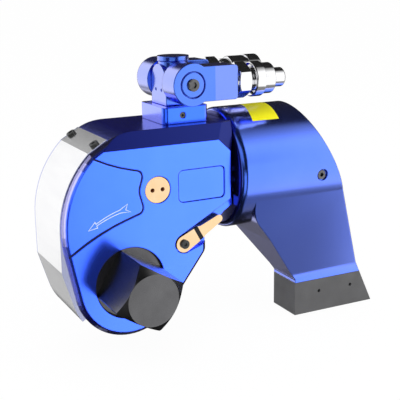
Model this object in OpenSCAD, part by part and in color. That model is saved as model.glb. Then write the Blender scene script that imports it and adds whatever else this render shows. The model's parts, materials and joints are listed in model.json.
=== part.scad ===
// Hydraulic torque wrench with a square drive, a splined reaction arm and a twin swivel.
// The origin is on the drive axis at the housing's front face.
// +X runs towards the reaction arm, +Y away from the square drive and +Z up. Millimetres.

/* [Housing] */
// Width of the housing between its two side faces
body_w = 70; // [68:0.5:76]
// Thickness of each side wall beside the mechanism
side_wall = 13; // [12:0.5:14]
// Radius of the round nose about the drive axis
nose_r = 41.3; // [40.6:0.1:44]
// Height of the top face above the drive axis
top_z = 111.3; // [108:0.5:118]
// Distance from the drive axis to the shoulder behind the arm collar
shoulder_x = 87; // [84:0.5:92]
// Height of the shoulder's lower end
shoulder_z = 47; // [45:0.5:49]
// Distance from the drive axis to the upright edge below the lever
heel_x = 62.8; // [60:0.2:66]
// Height at which the upright edge turns into the slope
heel_z = 26; // [24:0.5:28]
// Width of the chamfer around both side faces
edge_chamfer = 3.4; // [1:0.2:3.6]
// Depth of the bevel along the top of each side face
bevel_depth = 4; // [2:0.5:5]
// Height of the bevel along the top of each side face
bevel_rise = 12.2; // [8:0.2:14]
// Radius of the round back of the housing
back_r = 75.9; // [74:0.1:78]

/* [Shroud] */
// Depth of the shroud strip's seat in the housing
shroud_seat = 2; // [1.4:0.1:2.6]
// Height of the shroud strip above the housing's rims
shroud_proud = 1; // [0.6:0.1:2.4]
// Height of the shroud strip above the housing beside the drive
shroud_nose = 3; // [2.6:0.1:3.6]
// Height at which the shroud strip bends towards the drive
bend_z = 13.5; // [12:0.5:18]
// Width of the housing's rim on each side of the shroud
shroud_rim = 4.6; // [4:0.1:7]
// Radius of the shroud screw heads
shroud_screw_r = 3.4; // [2.5:0.1:4]

/* [Square drive] */
// Side of the square drive
drive_square = 38.1; // [36:0.1:39]
// Length of the square in front of the housing
drive_len = 41.7; // [30:0.5:55]
// Radius to which the square's corners are turned
drive_r = 26.3; // [26:0.1:26.6]
// Length of the turned cone at the square's tip
drive_cone = 6.2; // [3:0.2:9]
// Angle of the square about the drive axis
drive_turn = 60; // [0:1:89]
// Radius of the ratchet hubs that run in the bushes
hub_r = 27; // [26.8:0.1:27.4]
// Thickness of the bush wall
bush_t = 4; // [3:0.5:5]

/* [Ratchet and pawls] */
// Number of ratchet teeth
ratchet_teeth = 36; // [24:1:40]
// Radius to the tips of the ratchet teeth
ratchet_r = 34; // [33.4:0.1:34.4]
// Depth of the ratchet teeth
ratchet_depth = 2.4; // [1.6:0.1:2.8]
// Thickness of each drive plate
plate_t = 8; // [7:0.5:8.5]
// Radius of the reaction pawl shaft
pawl_shaft_r = 5; // [4:0.1:5.5]
// Radius of the drive pawl pin
pawl_pin_r = 4; // [3:0.1:4.5]

/* [Hydraulic cylinder] */
// Height of the cylinder axis above the drive axis
cyl_z = 70; // [69:0.2:71]
// Radius of the cylinder bore
bore_r = 20; // [18:0.2:20.6]
// Radius of the piston rod
rod_r = 11; // [9.6:0.1:11.4]
// Radius of the pin between rod and drive plates
rod_pin_r = 6; // [5:0.1:6.4]
// Distance of the rod pin from the drive axis with the piston back
pin_x = 23.4; // [22:0.2:25]
// Length of the piston
piston_len = 20; // [16:0.5:22]
// Radius to the tips of the splines on the barrel
spline_r = 34; // [32:0.2:34.6]
// Depth of the splines on the barrel
spline_depth = 3; // [2:0.2:4]
// Number of splines on the barrel
spline_count = 24; // [18:1:30]
// Length of the splined barrel
barrel_len = 44; // [42:0.5:48]

/* [Release lever] */
// Distance of the lever pivot from the drive axis along X
lever_x = 43.8; // [43.2:0.1:44.4]
// Height of the lever pivot above the drive axis
lever_z = 23.2; // [22.6:0.1:24]
// Length of the lever from its pivot to its tip
lever_len = 36; // [30:0.5:38]
// Thickness of the lever
lever_t = 4.5; // [3.5:0.1:5]

/* [Side face] */
// Radius of the plug over the rod pin
plug_r = 10.1; // [9.4:0.1:10.6]
// Height of the plug above the drive axis
plug_z = 67.2; // [66.6:0.1:68]
// Length of the shallow panel beside the plug
panel_l = 38.4; // [30:0.2:40]
// Height of the shallow panel beside the plug
panel_h = 24.6; // [18:0.2:26]

/* [Swivel] */
// Distance of the swivel axis from the drive axis
swivel_x = 54; // [52:0.5:56]
// Length of the swivel base
base_l = 37.1; // [34:0.2:40]
// Width of the swivel base
base_w = 43; // [40:0.5:46]
// Height of the swivel base
base_h = 12.4; // [10:0.2:15]
// Length of the swivel post along X
post_l = 24.6; // [22:0.2:26]
// Width of the swivel post between the arms
post_w = 26.2; // [25:0.2:28]
// Height of the arm axis above the swivel base
trunnion_h = 17; // [16.4:0.1:20]
// Radius of the journals that carry the arms
journal_r = 7; // [6:0.1:7.6]
// Radius of the swivel spindle
spindle_r = 8; // [7:0.1:8.6]
// Thickness of each swivel arm
arm_t = 20.2; // [19:0.2:22]
// Radius of the round end of each swivel arm
arm_boss_r = 15.5; // [14.6:0.1:16]
// Height of the straight part of each swivel arm
arm_h = 25.4; // [24:0.2:27]
// Reach of each swivel arm from the swivel axis
arm_reach = 37; // [34:0.5:42]

/* [Couplers] */
// Width across the flats of the coupler hexagons
hex_af = 23.7; // [22:0.1:24.4]
// Radius of the nipple's nose
nipple_r = 7.35; // [6.8:0.05:7.6]
// Length of the nipple's nose
nipple_len = 11; // [8:0.5:14]
// Radius of the socket in the rear coupler
socket_r = 7.5; // [7.2:0.05:7.8]
// Travel of the rear coupler's sleeve
sleeve_travel = 5; // [3:0.5:5.5]

/* [Reaction arm] */
// Radius of the arm's collar
collar_r = 47.5; // [46:0.2:50]
// Height of the foot's lower face
foot_z = -61.9; // [-70:0.5:-60]
// Height of the foot pad
pad_h = 28.4; // [24:0.2:32]
// Width of the foot
foot_w = 34; // [32:0.5:38]
// Distance from the drive axis to the foot's near end
foot_x = 154; // [148:0.5:160]
// Distance from the drive axis to the foot's far end at the floor
foot_far_x = 232.5; // [226:0.5:240]
// Distance from the drive axis to the collar's far end at its top
crown_x = 150; // [146:0.5:156]

/* [Hidden] */
// Clearance of a running fit, on the radius
run_gap = 0.05;
// Clearance of a fixed fit
fixed_gap = 0.05;
// Gap between faces that pass each other
face_gap = 0.3;
// Overlap of a cut past the face that it opens
cut = 1;
// Largest turn between two points of a drawn arc
arc_step = 5;
$fn = 64;

mid = body_w / 2;

// Points of an arc about c
function arc(c, r, a0, a1) =
    let (n = max(1, ceil(abs(a1 - a0) / arc_step)))
    [for (i = [0:n]) c + r * [cos(a0 + (a1 - a0) * i / n), sin(a0 + (a1 - a0) * i / n)]];

function unit(v) = v / norm(v);
function flat(p) = [p[0], p[1]];
function angle_of(v) = atan2(v[1], v[0]);
function left_of(v) = unit([-v[1], v[0]]);
function polar(r, a) = r * [cos(a), sin(a)];

// Corner at p between a and b, rounded to radius r
function corner(a, p, b, r) =
    r <= 0 ? [p] :
    let (
        u = unit(a - p),
        v = unit(b - p),
        half = acos(u * v) / 2,
        c = p + unit(u + v) * r / sin(half),
        a0 = angle_of(p + u * r / tan(half) - c),
        turn = angle_of(p + v * r / tan(half) - c) - a0
    )
    arc(c, r, a0, a0 + (turn > 180 ? turn - 360 : turn < -180 ? turn + 360 : turn));

// Closed outline through [x, y, corner radius] points
function soft_loop(pts) =
    let (n = len(pts))
    [for (i = [0:n - 1])
        each corner(flat(pts[(i + n - 1) % n]), flat(pts[i]), flat(pts[(i + 1) % n]), pts[i][2])];

// Open line through [x, y, corner radius] points
function soft_path(pts) =
    let (n = len(pts))
    [for (i = [0:n - 1])
        each i == 0 || i == n - 1 ? [flat(pts[i])]
            : corner(flat(pts[i - 1]), flat(pts[i]), flat(pts[i + 1]), pts[i][2])];

// Line or outline moved to its left by d, with mitred corners
function shifted(pts, d, closed) =
    let (n = len(pts))
    [for (i = [0:n - 1])
        let (
            before = closed || i > 0 ? pts[i] - pts[(i + n - 1) % n] : pts[1] - pts[0],
            after = closed || i < n - 1 ? pts[(i + 1) % n] - pts[i] : pts[i] - pts[i - 1],
            p = left_of(before),
            q = left_of(after)
        )
        pts[i] + d * (p + q) / (1 + p * q)];

// Band between two parallel lines of an open path
function band(pts, d0, d1) =
    let (far = shifted(pts, d1, false))
    concat(shifted(pts, d0, false), [for (i = [len(far) - 1:-1:0]) far[i]]);

// Splined outline with flat tips and roots
function spline_loop(n, root, tip) =
    let (share = [0, 0.2, 0.5, 0.7])
    [for (i = [0:n - 1], k = [0:3]) polar(k == 1 || k == 2 ? tip : root, 360 / n * (i + share[k]))];

// Saw-toothed outline whose steep faces look clockwise
function saw_loop(n, root, tip) =
    [for (i = [0:n - 1], k = [0, 1]) polar(k == 0 ? root : tip, 360 / n * (i + 0.12 * k))];

// Solid between y0 and y1 with a side outline in X and Z
module slab(y0, y1) {
    translate([0, y1, 0]) rotate([90, 0, 0]) linear_extrude(height = y1 - y0) children();
}

// Solid between x0 and x1 with an end outline in Y and Z
module length_x(x0, x1) {
    translate([x0, 0, 0]) rotate([90, 0, 90]) linear_extrude(height = x1 - x0) children();
}

module rod_x(r, x0, x1, y, z) {
    translate([x0, y, z]) rotate([0, 90, 0]) cylinder(r = r, h = x1 - x0);
}

module rod_y(r, y0, y1, x = 0, z = 0) {
    translate([x, y1, z]) rotate([90, 0, 0]) cylinder(r = r, h = y1 - y0);
}

module rod_z(r, z0, z1, x, y) {
    translate([x, y, z0]) cylinder(r = r, h = z1 - z0);
}

module ring_x(r0, r1, x0, x1, y, z) {
    difference() {
        rod_x(r1, x0, x1, y, z);
        rod_x(r0, x0 - cut, x1 + cut, y, z);
    }
}

module ring_y(r0, r1, y0, y1, x = 0, z = 0) {
    difference() {
        rod_y(r1, y0, y1, x, z);
        rod_y(r0, y0 - cut, y1 + cut, x, z);
    }
}

// Block with round upright edges
module rounded_block(x0, x1, y0, y1, z0, z1, r) {
    translate([x0 + r, y0, z0]) cube([x1 - x0 - 2 * r, y1 - y0, z1 - z0]);
    translate([x0, y0 + r, z0]) cube([x1 - x0, y1 - y0 - 2 * r, z1 - z0]);
    for (x = [x0 + r, x1 - r], y = [y0 + r, y1 - r]) rod_z(r, z0, z1, x, y);
}

// Same piece at its place on the front side or mirrored to the rear side
module on_side(rear) {
    translate([0, mid, 0]) mirror([0, rear ? 1 : 0, 0]) translate([0, -mid, 0]) children();
}

// Housing outline
back_c = [26.6, 43.1];
flank_a = angle_of(back_c) + acos((nose_r - back_r) / norm(back_c));
chin_a = 323;
slope_run = 17.2;
tab_top_a = 119.2;
tab_low_a = 134;
crown_r = 40;
crown_c = [7.3, top_z - crown_r];
chin = polar(nose_r, chin_a);
chin_dir = polar(1, chin_a - 270);
heel_low = chin + chin_dir * (heel_x - chin[0]) / chin_dir[0];
tab_top = crown_c + polar(crown_r, tab_top_a);
tab_low = back_c + polar(back_r, tab_low_a);
body_loop = concat(
    arc([0, 0], nose_r, flank_a, chin_a),
    corner(chin, heel_low, [heel_x, heel_z], 8),
    corner(heel_low, [heel_x, heel_z], [heel_x + slope_run, heel_z + slope_run], 5),
    corner([heel_x, heel_z], [heel_x + slope_run, heel_z + slope_run], [shoulder_x, shoulder_z], 5),
    [[shoulder_x, shoulder_z], [shoulder_x, top_z]],
    arc(crown_c, crown_r, 90, tab_top_a),
    arc(back_c, back_r, tab_low_a, flank_a)
);

// Shroud line, from its tab down the back to below the nose's side
shroud_low_a = 214;
shroud_line = concat([tab_top], arc(back_c, back_r, tab_low_a, flank_a), arc([0, 0], nose_r, flank_a, shroud_low_a));
shroud_y0 = shroud_rim;
shroud_y1 = body_w - shroud_rim;
tab_a = angle_of(tab_top - tab_low) + 90;
shroud_bend = [back_c[0] - back_r - shroud_proud, bend_z];
shroud_nose_r = nose_r + shroud_nose;
bend_a = angle_of(shroud_bend) + acos(shroud_nose_r / norm(shroud_bend));
shroud_bend_r = 8;
shroud_reach = 8;
shroud_under = shifted(shroud_line, shroud_seat - fixed_gap, false);
shroud_loop = concat(
    [tab_top + polar(shroud_proud, tab_a)],
    arc(back_c, back_r + shroud_proud, tab_low_a, 180),
    corner([shroud_bend[0], back_c[1]], shroud_bend, polar(shroud_nose_r, bend_a), shroud_bend_r),
    arc([0, 0], shroud_nose_r, bend_a, shroud_low_a),
    [for (i = [len(shroud_under) - 1:-1:0]) shroud_under[i]]
);
tab_mid = (tab_top + tab_low) / 2 + polar(shroud_proud, tab_a);
shroud_screw_inset = 5.6;
shroud_screw_y = [shroud_y0 + shroud_screw_inset, shroud_y1 - shroud_screw_inset];
shroud_screw_len = 11;
shroud_shank_r = 2.2;
shroud_head_h = 2;

// Drive train
plate_side = 1;
plate_y0 = side_wall + plate_side;
plate_y1 = plate_y0 + plate_t;
ratchet_y0 = plate_y1 + plate_side;
ratchet_y1 = body_w - ratchet_y0;
pawl_side = 0.5;
bush_y0 = 5;
bush_r = hub_r + bush_t;
plate_hub_r = 30;
plate_r = 35.6;
plate_eye_r = 12;
swing_a = atan2(cyl_z, pin_x);
plate_len = norm([pin_x, cyl_z]);
slot_gap = 0.6;
chamber_r = 36.8;
chamber_x = pin_x + plate_eye_r + 1.6;
chamber_top = plate_len + plate_eye_r + 2.4;
pawl_clear = 0.4;
pawl_tip_t = 6;
drive_pawl_at = polar(50, swing_a);
drive_pawl_r = 7;
drive_tip_a = swing_a + 17;
reaction_pawl_r = 8;
pawl_room = 2.5;
reaction_tip_a = 50;
lever_at = [lever_x, lever_z];
drive_spline_r = 24;
drive_spline_depth = 2;
drive_spline_count = 20;
drive_end_y = body_w - 6;
button_r = 7;
button_travel = 3;
button_out = 4.2;
retainer_r = 25;
retainer_y0 = body_w - bush_y0 - 0.2;
retainer_y1 = body_w + 0.8;
stem_r = 5;

// Cylinder
head_wall = 8;
head_x = chamber_x + head_wall;
gland_r = 16;
gland_lip = 5;
barrel_end = shoulder_x + barrel_len;
cap_t = 12;
cap_x = barrel_end - cap_t;
piston_x1 = cap_x - 2 * face_gap;
piston_x0 = piston_x1 - piston_len;
seal_w = 4;
seal_t = 2.5;
wrench_hole_r = 2.5;

// Side face
plug_depth = 9;
plug_step = 1.5;
plug_recess = 0.3;
plug_ring = 0.35;
spanner_x = 4;
spanner_r = 1.6;
spanner_depth = 6;
panel_margin = 5.2;
panel_x = shoulder_x - edge_chamfer - panel_margin - panel_l;
panel_depth = 0.8;
line_w = 1.1;
line_depth = 0.6;
lever_a = 28.4;
lever_proud = 0.6;
lever_y0 = -lever_proud;
lever_y1 = lever_t - lever_proud;
lever_turn = 12;
lever_cap = 1.4;
lever_screw_r = 3.4;
lever_screw_h = 1.6;
lever_shank_r = 2;
band_u = 13.7;
band_l = 3.4;

// Swivel
base_top = top_z + base_h;
trunnion_z = base_top + trunnion_h;
post_top = trunnion_z + post_w / 2 + 1.8;
cap_r = post_w / 2 - 1.2;
cap_h = 3.6;
spindle_depth = 13;
arm_y1 = mid - post_w / 2 - face_gap;
arm_y0 = arm_y1 - arm_t;
disc_r = 9;
disc_t = 2.2;
disc_ring = 0.8;
disc_screw_r = 4.5;
disc_shank_r = 3;
arm_end = swivel_x + arm_reach;
arm_corner = 2.6;
arm_axis_y = (arm_y0 + arm_y1) / 2;
base_screw_r = 2.3;

// Couplers, measured from the end of the swivel arm
stem_len = 12;
coupler_stem_r = 6.5;
hex_x = arm_end + 1.2;
hex_r = hex_af / 2 / cos(30);
hex_corner = 1.6;
hex_slope = 0.6;
hex_end = arm_end + 11;
neck_end = hex_end + 3.7;
neck_r = 9;
collar_mid = neck_end + 8;
collar_end = neck_end + 17.8;
lock_ring_r = 13.3;
lock_ring_step = 1.6;
nipple_body_r = 8.9;
oil_r = 3;
socket_body_r = 11.4;
socket_end = neck_end + 30.3;
socket_depth = 14;
sleeve_x0 = neck_end + sleeve_travel + 1.3;
sleeve_x1 = socket_end + 2.4;
sleeve_r = 13.2;
sleeve_rim_r = 13.8;
sleeve_rim_l = 11;

// Reaction arm
arm_x0 = shoulder_x + face_gap;
pad_top = foot_z + pad_h;
band_h = 9.1;
band_z = pad_top + band_h;
far_slope = (foot_far_x - crown_x) / (cyl_z + collar_r - foot_z);
lean = asin(collar_r / norm([foot_w / 2, cyl_z - band_z])) - atan2(foot_w / 2, cyl_z - band_z);
throat_x = arm_x0 + 14;
throat = [[throat_x, cyl_z, 0], [throat_x, 36, 30], [122, 12, 14], [foot_x, band_z - 6, 2], [foot_x, pad_top, 0]];
tenon_x0 = foot_x + 11;
tenon_x1 = foot_far_x - 15;
tenon_w = 16;
tenon_h = 16.5;
tenon_gap = 0.1;
pad_pin_r = 1.5;
pad_pin_z = pad_top - 10.7;
pad_pin_x = [foot_x + 24, foot_x + 56.1];
pad_pin_inset = 1.2;
apron_inset = 0.3;
collar_round = 5;
lock_screw_x = crown_x + 8.3;
lock_screw_z = cyl_z - 5;
lock_screw_r = 3.6;
lock_screw_recess = 1.4;
lock_ring_w = 1;
lock_screw_len = 9;

function far_x(z) = foot_far_x - (z - foot_z) * far_slope;

blue = "#5b8cff";
steel = "#c9ccd2";
dark_steel = "#5c5c60";
gold = "#e3bf7c";
black = "#202124";
chrome = "#e6e8ec";
bronze = "#b98a4b";
rubber = "#2a2a2a";

// Outline of the housing with a chamfer around both side faces
module chamfered_body() {
    n = len(body_loop);
    inner = shifted(body_loop, edge_chamfer, true);
    rings = [
        for (layer = [[inner, 0], [body_loop, edge_chamfer], [body_loop, body_w - edge_chamfer], [inner, body_w]])
            [for (p = layer[0]) [p[0], layer[1], p[1]]]
    ];
    polyhedron(
        points = [for (ring = rings) each ring],
        faces = concat(
            [[for (i = [n - 1:-1:0]) i]],
            [for (k = [0:2], i = [0:n - 1]) [k * n + i, k * n + (i + 1) % n, k * n + n + (i + 1) % n, k * n + n + i]],
            [[for (i = [0:n - 1]) 3 * n + i]]
        ),
        convexity = 6
    );
}

// Wedge that bevels the side face outside a line through at, leaning back by rise over depth
module bevel(at, turn, rise, depth, reach) {
    far = 40;
    translate([at[0], 0, at[1]]) rotate([0, -turn, 0]) length_x(-reach, reach)
        polygon([[-cut, -cut * rise / depth], [far * depth / rise, far], [-cut, far]]);
}

module side_bevels() {
    edge_z = top_z - bevel_rise;
    bevel([0, edge_z], 0, bevel_rise, bevel_depth, 200);
    bevel([shoulder_x - 13.4, edge_z], -43.5, bevel_rise, bevel_depth, 60);
}

// Space for the ratchet, the drive plates and the reaction pawl
module mechanism_space() {
    pocket_r = reaction_pawl_r + pawl_room;
    pocket_x = chamber_r - 4;
    slab(side_wall, body_w - side_wall) {
        circle(r = chamber_r);
        polygon([[chamber_x, 0], [chamber_x, chamber_top], [-80, chamber_top], [-80, 0]]);
    }
    slab(ratchet_y0, ratchet_y1) {
        translate(lever_at) circle(r = pocket_r);
        translate([pocket_x, lever_z - pocket_r]) square([lever_x - pocket_x, 2 * pocket_r]);
    }
}

// Recess in the side face in which the lever turns
module lever_recess() {
    wide = 7.4;
    reach = lever_len + 24;
    slab(-cut, lever_y1 + face_gap) translate(lever_at) rotate(lever_a) {
        circle(r = wide);
        polygon([
            [0, wide], [reach, wide], [reach, -reach * tan(lever_turn) - 5],
            [12, -wide - 2], [0, -wide]
        ]);
    }
}

// Fine line cut in the side face around the plain field beside the plug
module face_line() {
    slab(-cut, line_depth) polygon(band(soft_path([
        [-24.8, 95, 0], [-10, 87.4, 120], [12.8, 82, 5], [8.4, 68, 12],
        [12.6, 52.6, 5], [-12, 45, 120], [-32, 35.2, 120], [-48.7, 24.8, 0]
    ]), -line_w / 2, line_w / 2));
}

module face_panel() {
    z0 = plug_z - panel_h / 2;
    slab(-cut, panel_depth) polygon(soft_loop([
        [panel_x, z0, 4], [panel_x + panel_l, z0, 4],
        [panel_x + panel_l, z0 + panel_h, 4], [panel_x, z0 + panel_h, 4]
    ]));
}

module shroud_screw_shanks(gap) {
    for (y = shroud_screw_y) translate([tab_mid[0], y, tab_mid[1]]) rotate([0, 90 - tab_a, 0])
        translate([0, 0, -shroud_screw_len]) cylinder(r = shroud_shank_r + gap, h = shroud_screw_len + cut * sign(gap));
}

module housing() color(blue) {
    difference() {
        union() {
            difference() {
                chamfered_body();
                side_bevels();
                on_side(true) side_bevels();
                lever_recess();
                face_line();
                face_panel();
            }
            length_x(shoulder_x, barrel_end) translate([mid, cyl_z])
                polygon(spline_loop(spline_count, spline_r - spline_depth, spline_r));
            rod_x(bore_r + 2, shoulder_x - edge_chamfer, shoulder_x + edge_chamfer, mid, cyl_z);
        }
        slab(shroud_y0 - fixed_gap, shroud_y1 + fixed_gap) polygon(band(shroud_line, -shroud_reach, shroud_seat));
        mechanism_space();
        rod_x(bore_r, head_x, barrel_end + cut, mid, cyl_z);
        rod_x(gland_r + fixed_gap, chamber_x - cut, head_x + cut, mid, cyl_z);
        rod_y(hub_r + run_gap, -cut, body_w + cut);
        rod_y(bush_r + fixed_gap, bush_y0, body_w - bush_y0);
        rod_y(plug_r, -cut, plug_depth, pin_x, plug_z);
        rod_y(plug_r - plug_step, plug_depth - cut, side_wall + cut, pin_x, plug_z);
        rod_y(pawl_shaft_r + run_gap, -cut, body_w - side_wall + 6, lever_x, lever_z);
        shroud_screw_shanks(fixed_gap);
        rod_z(spindle_r + fixed_gap, top_z - spindle_depth, top_z + cut, swivel_x, mid);
    }
}

module shroud() color(steel) {
    difference() {
        slab(shroud_y0, shroud_y1) polygon(shroud_loop);
        shroud_screw_shanks(fixed_gap);
    }
}

module shroud_screws() color(black) {
    socket_r = shroud_screw_r * 0.5;
    difference() {
        union() {
            shroud_screw_shanks(0);
            for (y = shroud_screw_y) translate([tab_mid[0], y, tab_mid[1]]) rotate([0, 90 - tab_a, 0])
                cylinder(r = shroud_screw_r, h = shroud_head_h);
        }
        for (y = shroud_screw_y) translate([tab_mid[0], y, tab_mid[1]]) rotate([0, 90 - tab_a, 0])
            translate([0, 0, shroud_head_h / 2]) cylinder(r = socket_r, h = shroud_head_h, $fn = 6);
    }
}

module pin_plug() color(gold) {
    difference() {
        rod_y(plug_r - plug_ring, plug_recess, plug_depth, pin_x, plug_z);
        for (x = [-spanner_x, spanner_x]) rod_y(spanner_r, 0, spanner_depth, pin_x + x, plug_z);
    }
}

module rod_gland() color(bronze) {
    difference() {
        union() {
            rod_x(gland_r, chamber_x, head_x, mid, cyl_z);
            rod_x(bore_r - fixed_gap, head_x, head_x + gland_lip, mid, cyl_z);
        }
        rod_x(rod_r + run_gap, chamber_x - cut, head_x + gland_lip + cut, mid, cyl_z);
        rod_x(rod_r + seal_t, head_x - seal_w, head_x, mid, cyl_z);
    }
}

module rod_seal() color(rubber) {
    ring_x(rod_r + run_gap, rod_r + seal_t - fixed_gap, head_x - seal_w + fixed_gap, head_x - fixed_gap, mid, cyl_z);
}

module cylinder_end_cap() color(dark_steel) {
    difference() {
        rod_x(bore_r - fixed_gap, cap_x, barrel_end, mid, cyl_z);
        ring_x(bore_r - seal_t, bore_r + cut, cap_x + seal_w, cap_x + 2 * seal_w, mid, cyl_z);
        for (y = [-bore_r / 2, bore_r / 2])
            rod_x(wrench_hole_r, barrel_end - cap_t / 3, barrel_end + cut, mid + y, cyl_z);
    }
}

module end_cap_seal() color(rubber) {
    ring_x(bore_r - seal_t, bore_r - fixed_gap, cap_x + seal_w, cap_x + 2 * seal_w, mid, cyl_z);
}

module piston() color(steel) {
    middle = (piston_x0 + piston_x1) / 2;
    difference() {
        rod_x(bore_r - run_gap, piston_x0, piston_x1, mid, cyl_z);
        ring_x(bore_r - seal_t, bore_r + cut, middle - seal_w / 2, middle + seal_w / 2, mid, cyl_z);
    }
}

module piston_seal() color(rubber) {
    middle = (piston_x0 + piston_x1) / 2;
    ring_x(bore_r - seal_t, bore_r - run_gap, middle - seal_w / 2, middle + seal_w / 2, mid, cyl_z);
}

module piston_rod() color(chrome) {
    difference() {
        union() {
            intersection() {
                rod_x(rod_r, pin_x - rod_r, pin_x + rod_r, mid, cyl_z);
                rod_y(rod_r, mid - rod_r, mid + rod_r, pin_x, cyl_z);
            }
            rod_x(rod_r, pin_x, piston_x0, mid, cyl_z);
        }
        rod_y(rod_pin_r + fixed_gap, mid - rod_r - cut, mid + rod_r + cut, pin_x, cyl_z);
    }
}

module rod_pin() color(dark_steel) {
    rod_y(rod_pin_r, plate_y0, body_w - plate_y0, pin_x, cyl_z);
}

module drive_plate() {
    slab(plate_y0, plate_y1) rotate(swing_a) difference() {
        union() {
            circle(r = plate_r);
            polygon([[0, -31], [plate_len, -plate_eye_r], [plate_len, plate_eye_r], [0, 31]]);
            translate([plate_len, 0]) circle(r = plate_eye_r);
        }
        circle(r = plate_hub_r + run_gap);
        for (u = [cyl_z, plate_len]) translate([u, 0]) circle(r = rod_pin_r + slot_gap);
        translate([cyl_z, -rod_pin_r - slot_gap]) square([plate_len - cyl_z, 2 * (rod_pin_r + slot_gap)]);
        translate([norm(drive_pawl_at), 0]) circle(r = pawl_pin_r + fixed_gap);
    }
}

module drive_plate_front() color(dark_steel) drive_plate();

module drive_plate_rear() color(dark_steel) on_side(true) drive_plate();

module drive_pawl_pin() color(steel) {
    rod_y(pawl_pin_r, plate_y0, body_w - plate_y0, drive_pawl_at[0], drive_pawl_at[1]);
}

// Pawl with its eye at at and its tip just over the ratchet's crests
module pawl(at, eye_r, pin_r, tip_a) {
    tip = polar(ratchet_r + pawl_clear, tip_a);
    side = left_of(at - tip) * eye_r;
    slab(ratchet_y0 + pawl_side, ratchet_y1 - pawl_side) difference() {
        union() {
            translate(at) circle(r = eye_r);
            polygon([tip, at - side, at + side, tip + polar(pawl_tip_t, tip_a + 4)]);
        }
        translate(at) circle(r = pin_r);
    }
}

module drive_pawl() color(steel) pawl(drive_pawl_at, drive_pawl_r, pawl_pin_r + run_gap, drive_tip_a);

module drive_bush() ring_y(hub_r + run_gap, bush_r, bush_y0, side_wall);

module drive_bush_front() color(bronze) drive_bush();

module drive_bush_rear() color(bronze) on_side(true) drive_bush();

module ratchet() color(steel) {
    difference() {
        union() {
            slab(ratchet_y0, ratchet_y1)
                polygon(saw_loop(ratchet_teeth, ratchet_r - ratchet_depth, ratchet_r));
            rod_y(plate_hub_r, side_wall + face_gap, body_w - side_wall - face_gap);
            rod_y(hub_r, bush_y0 + face_gap, body_w - bush_y0 - face_gap);
        }
        slab(0, body_w) polygon(spline_loop(
            drive_spline_count, drive_spline_r - drive_spline_depth + fixed_gap, drive_spline_r + fixed_gap
        ));
    }
}

module square_drive() color(dark_steel) {
    neck_y = 3;
    difference() {
        union() {
            intersection() {
                slab(-drive_len, neck_y) rotate(drive_turn) square(drive_square, center = true);
                rotate([-90, 0, 0]) rotate_extrude() polygon([
                    [0, -drive_len], [drive_square / 2, -drive_len], [drive_r, drive_cone - drive_len],
                    [drive_r, neck_y], [0, neck_y]
                ]);
            }
            rod_y(drive_r, neck_y, bush_y0);
            slab(bush_y0, drive_end_y) polygon(spline_loop(
                drive_spline_count, drive_spline_r - drive_spline_depth, drive_spline_r
            ));
        }
        rod_y(stem_r + fixed_gap, mid, body_w);
    }
}

module drive_retainer() color(dark_steel) {
    difference() {
        union() {
            rod_y(retainer_r, retainer_y0, retainer_y1);
            rod_y(stem_r, mid + 4, retainer_y0 + cut);
        }
        rod_y(button_r + run_gap, retainer_y1 - button_travel - cut, retainer_y1 + cut);
    }
}

module release_button() color(black) {
    rod_y(button_r, retainer_y1 - face_gap, retainer_y1 + button_out);
}

module reaction_pawl() color(steel) pawl(lever_at, reaction_pawl_r, pawl_shaft_r + fixed_gap, reaction_tip_a);

module pawl_shaft() color(steel) {
    difference() {
        rod_y(pawl_shaft_r, lever_y0 + lever_cap, body_w - side_wall + 5, lever_x, lever_z);
        rod_y(lever_shank_r + fixed_gap, lever_y0, lever_y1 + 6, lever_x, lever_z);
    }
}

module lever_outline() {
    head = 6.5;
    at_band = 5.4;
    past_band = 4.3;
    tip = 3;
    band_end = band_u + band_l / 2;
    grip = band_end + 2.2;
    polygon(concat(
        arc([0, 0], head, 84, 276),
        [[band_end, -at_band], [grip, -past_band]],
        arc([lever_len - tip, 0], tip, -80, 80),
        [[grip, past_band], [band_end, at_band]]
    ));
}

module lever_band_outline(gap) {
    translate([band_u - band_l / 2 - gap, -10]) square([band_l + 2 * gap, 20]);
}

module release_lever() color(gold) {
    difference() {
        slab(lever_y0, lever_y1) translate(lever_at) rotate(lever_a) lever_outline();
        rod_y(pawl_shaft_r + fixed_gap, lever_y0 + lever_cap, lever_y1 + cut, lever_x, lever_z);
        rod_y(lever_shank_r + fixed_gap, lever_y0 - cut, lever_y1, lever_x, lever_z);
        slab(lever_y0 - cut, lever_y0 + 2) translate(lever_at) rotate(lever_a) lever_band_outline(0);
    }
}

module lever_band() color(black) {
    slab(lever_y0, lever_y0 + 2) translate(lever_at) rotate(lever_a) intersection() {
        lever_outline();
        lever_band_outline(-fixed_gap);
    }
}

module lever_screw() color(black) {
    difference() {
        union() {
            rod_y(lever_screw_r, lever_y0 - lever_screw_h, lever_y0, lever_x, lever_z);
            rod_y(lever_shank_r, lever_y0 - lever_screw_h / 2, lever_y1 + 5, lever_x, lever_z);
        }
        slab(lever_y0 - 2, lever_y0 - lever_screw_h / 3) translate(lever_at) circle(r = lever_screw_r * 0.45, $fn = 6);
    }
}

module swivel_base() color(blue) {
    y0 = mid - base_w / 2;
    difference() {
        rounded_block(swivel_x - base_l / 2, swivel_x + base_l / 2, y0, y0 + base_w, top_z, base_top, 4);
        rod_z(spindle_r + fixed_gap, top_z - cut, base_top + cut, swivel_x, mid);
        rod_y(base_screw_r, y0 - cut, y0 + 6, swivel_x - 3, top_z + base_h / 2);
    }
}

module base_screw() color(black) {
    y0 = mid - base_w / 2 + 0.6;
    difference() {
        rod_y(base_screw_r - fixed_gap, y0, y0 + 5, swivel_x - 3, top_z + base_h / 2);
        slab(y0 - cut, y0 + 1.5) translate([swivel_x - 3, top_z + base_h / 2]) circle(r = base_screw_r * 0.55, $fn = 6);
    }
}

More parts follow.
